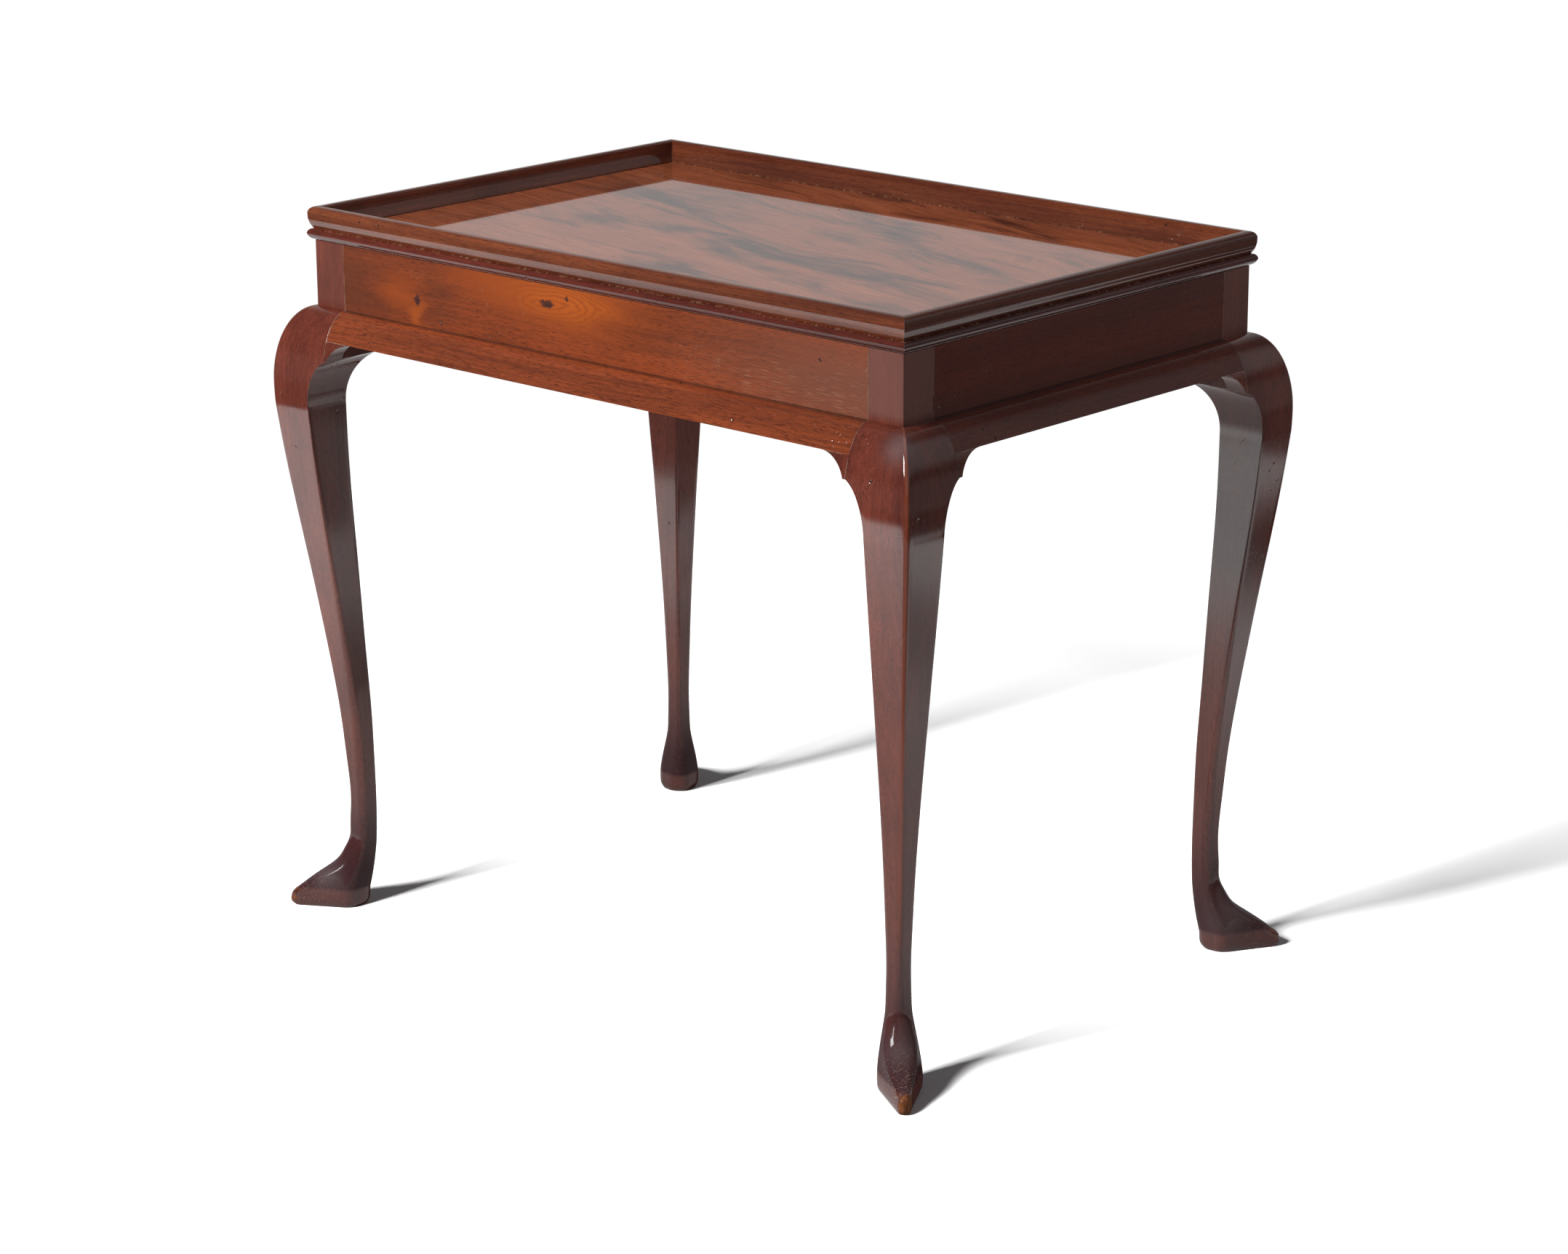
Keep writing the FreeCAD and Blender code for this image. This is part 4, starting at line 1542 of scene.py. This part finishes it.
@dataclass
class Studio:
    """Floor, light and camera."""

    floor_radius: float = 1.85
    floor_hole: float = 0.02
    floor_middle: tuple[float, float] = (-0.04, -0.05)
    floor_rings: int = 8
    floor_columns: int = 96
    camera_place: Triple = (2.6037, -2.8511, 1.4624)
    camera_target: Triple = (0.08571, 0.0, 0.32588)
    lens: float = 95.05
    sensor: float = 36.0
    shift: tuple[float, float] = (-0.0378, -0.0007)
    far_clip: float = 50.0
    key: Lamp = Lamp("key", (-0.6, -3.1, 2.3), (0.0, 0.0, 0.45), 1.2, 128.0)
    fill: Lamp = Lamp("fill", (2.3, 2.2, 1.7), (0.0, 0.0, 0.4), 1.4, 20.0)
    sheet: Lamp = Lamp("sheet", (-1.1, -7.9, 6.3), (0.0, 0.0, 0.0), 2.2, 3100.0)

    FLOOR_SEEN = (0.86, 0.86, 0.86)
    FLOOR_BOUNCE = (0.17, 0.17, 0.17)
    FLOOR_GLOW = 0.02
    SOFT_LIGHT = (0.085, 0.085, 0.092)
    WHITE = (1.0, 1.0, 1.0)
    # Painted shade on the floor, which only reflections see: middle, reach along each axis and level.
    PAINTED_SHADE_PLACES = (((0.85, 1.24, 0.0), (0.29, 0.62, 1.0), 0.0), ((1.27, 1.02, 0.0), (0.24, 0.27, 1.0), 0.0),
                  ((1.00, 0.47, 0.0), (0.35, 0.33, 1.0), 0.55))

    @property
    def ahead(self) -> Triple:
        """Level direction of the view."""
        way = Vector(self.camera_target) - Vector(self.camera_place)
        return tuple(Vector((way.x, way.y, 0.0)).normalized())

    def camera(self) -> None:
        """Set the camera to the photograph's view."""
        data = bpy.data.cameras.new("photo_view")
        data.sensor_width = self.sensor
        data.lens = self.lens
        data.shift_x, data.shift_y = self.shift
        data.clip_end = self.far_clip
        bpy.context.scene.camera = add_aimed(data, self.camera_place, self.camera_target)

    def _floor_finish(self) -> bpy.types.Material:
        """Pale floor: near white for the camera, grey for its bounce, with painted light and shade for
        reflections.

        Returns:
            The material.
        """
        sketch, shader, material = new_material("pale_floor")
        path = sketch.add("ShaderNodeLightPath").outputs
        place = sketch.place()
        depth = sketch.vector("DOT_PRODUCT", place, self.ahead, "Value")
        # Painted light and shade that only reflections see: brighter farther out, darker toward the camera
        # and in the places of painted shade.
        spread = sketch.ramp(sketch.length(place), 0.6, 1.4, 0.36, 0.80)
        mirrored = sketch.times(spread, sketch.ramp(depth, -0.95, -0.72, 0.25, 1.0))
        for centre, reach, level in self.PAINTED_SHADE_PLACES:
            painted_floor_shade = sketch.ramp(sketch.spot(place, centre, reach), 0.0, 1.0, 1.0, level)
            mirrored = sketch.times(mirrored, painted_floor_shade)
        seen = sketch.mix(path["Is Camera Ray"], mirrored, self.FLOOR_SEEN)
        below = sketch.add("ShaderNodeNewGeometry").outputs["Backfacing"]
        sketch.feed_all(shader, {"Roughness": 1.0, "Specular IOR Level": 0.0,
                                 "Emission Color": (*self.WHITE, 1.0),
                                 "Base Color": sketch.mix(path["Is Diffuse Ray"], seen, self.FLOOR_BOUNCE),
                                 "Emission Strength": sketch.times(path["Is Camera Ray"], self.FLOOR_GLOW),
                                 "Alpha": sketch.math("SUBTRACT", 1.0, below)})
        return material

    def floor(self) -> bpy.types.Object:
        """Lay a round pale sheet, rings of a disc that ends where the knees reflect its edge.

        Returns:
            The floor.
        """
        radius = np.linspace(self.floor_hole, self.floor_radius, self.floor_rings)[:, None]
        turn = np.linspace(0, 2 * math.pi, self.floor_columns, endpoint=False)[None]
        across = self.floor_middle[0] + radius * np.cos(turn)
        deep = self.floor_middle[1] + radius * np.sin(turn)
        points = np.stack([across, deep, np.zeros_like(across)], axis=-1)
        faces = [face[::-1] for face in tube_faces(self.floor_rings, self.floor_columns)[:-1]]
        mesh = bpy.data.meshes.new("floor")
        mesh.from_pydata(points.reshape(-1, 3).tolist(), [], faces)
        mesh.materials.append(self._floor_finish())
        floor = add_object("floor", mesh)
        return floor

    def world(self) -> None:
        """White for the camera, soft for the rest; reflections see a backdrop, horizon, ceiling and side."""
        world = bpy.data.worlds.new("studio")
        bpy.context.scene.world = world
        world.use_nodes = True
        sketch = Sketch(world.node_tree)
        way = sketch.add("ShaderNodeTexCoord").outputs["Generated"]
        facing = sketch.vector("DOT_PRODUCT", way, self.ahead, "Value")
        right, _, rise = sketch.axes(way)
        backdrop = sketch.times(sketch.ramp(facing, 0.35, 0.8), sketch.ramp(rise, -0.06, 0.04, 0.0, 0.58))
        horizon = sketch.times(sketch.ramp(rise, -0.27, -0.17), sketch.ramp(rise, 0.0, 0.15, 0.22, 0.0))
        ceiling = sketch.ramp(rise, 0.72, 0.95, 0.11, 0.6)
        aside = sketch.times(sketch.ramp(right, 0.25, 0.5), sketch.ramp(rise, 0.05, 0.25, 0.0, 0.42))
        mirrored = sketch.larger(sketch.larger(backdrop, horizon), sketch.larger(ceiling, aside))
        path = sketch.add("ShaderNodeLightPath").outputs
        mirror = sketch.larger(path["Is Glossy Ray"], path["Is Transmission Ray"])
        level = sketch.mix(mirror, self.SOFT_LIGHT, mirrored)
        level = sketch.mix(path["Is Camera Ray"], level, self.WHITE)
        sketch.feed(world.node_tree.nodes["Background"].inputs["Color"], level)

    @staticmethod
    def _collected(name: str, things: list[bpy.types.Object]) -> bpy.types.Collection:
        """Collect objects, for a lamp to be linked with.

        Args:
            name: Name of the collection.
            things: The objects.

        Returns:
            The collection.
        """
        collection = bpy.data.collections.new(name)
        for thing in things:
            collection.objects.link(thing)
        return collection

    def build(self, legs: list[bpy.types.Object]) -> None:
        """Set the view, the floor and the lights.

        Args:
            legs: The pieces whose shadows the floor lamp keeps.
        """
        self.camera()
        floor = self.floor()
        self.world()
        off_floor = self._collected("not_lit_by_key", [floor])
        off_floor.collection_objects[0].light_linking.link_state = "EXCLUDE"
        key, fill, sheet = self.key.hang(), self.fill.hang(), self.sheet.hang()
        key.light_linking.receiver_collection = off_floor
        fill.light_linking.receiver_collection = off_floor
        fill.visible_glossy = False
        sheet.light_linking.receiver_collection = self._collected("lit_by_sheet_lamp", [floor])
        sheet.light_linking.blocker_collection = self._collected("cast_on_floor", legs)
        bpy.context.scene.view_settings.view_transform = "Standard"


def dress_packed_nodes(nodes: dict[str, bpy.types.Object], frame: Frame, finishes: Finishes) -> None:
    """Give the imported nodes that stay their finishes.

    Args:
        nodes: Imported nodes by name.
        frame: Sizes of the table.
        finishes: Finishes to use.
    """
    dressing = {"tray_board": finishes.flame_board(frame.rail_top), "glue_blocks": finishes.pine(),
                "pocket_screws": finishes.iron()}
    for side in Side:
        finish = finishes.frieze_rail(side, frame.half_clear(side), frame.leg_height, frame.reach(side))
        dressing[f"frieze_rail_{side.label}"] = finish
    for name, material in dressing.items():
        mesh = nodes[name].data
        mesh.materials.clear()
        mesh.materials.append(material)
        LOG.info("%s keeps its packed shape, finished as %s", name, material.name)


SIDE_ENDS = {Side.FRONT: (Corner.FRONT_LEFT, Corner.FRONT_RIGHT),
             Side.RIGHT: (Corner.FRONT_RIGHT, Corner.BACK_RIGHT),
             Side.BACK: (Corner.BACK_RIGHT, Corner.BACK_LEFT),
             Side.LEFT: (Corner.BACK_LEFT, Corner.FRONT_LEFT)}
RIM_NAIL = (0.279, 0.238, 0.7054)


def main() -> None:
    """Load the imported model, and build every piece."""
    logging.basicConfig(level=logging.INFO, format="%(name)s: %(message)s")
    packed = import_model()
    frame = Frame.from_pack()
    knee = Knee(frame)
    finishes = Finishes(SharedEffects())
    leg_finish = finishes.carved(finishes.LEG)
    moulding_finish = finishes.carved(finishes.MOULDING)
    rim_finish = finishes.carved(finishes.RIM, RIM_NAIL)
    edge_finish = finishes.carved(finishes.EDGE)
    leg, apron, tray = Leg(frame, knee), Apron(frame, knee), Tray(frame)
    legs = [leg.build(corner, leg_finish) for corner in Corner]
    for side in Side:
        apron.moulding(side, moulding_finish)
        tray.build(side, edge_finish, rim_finish)
        for end, corner in zip((-1, 1), SIDE_ENDS[side]):
            apron.knee_block(side, end, corner, leg_finish)
    dress_packed_nodes(packed["nodes"], frame, finishes)
    Studio().build(legs)


if __name__ == "__main__":
    main()
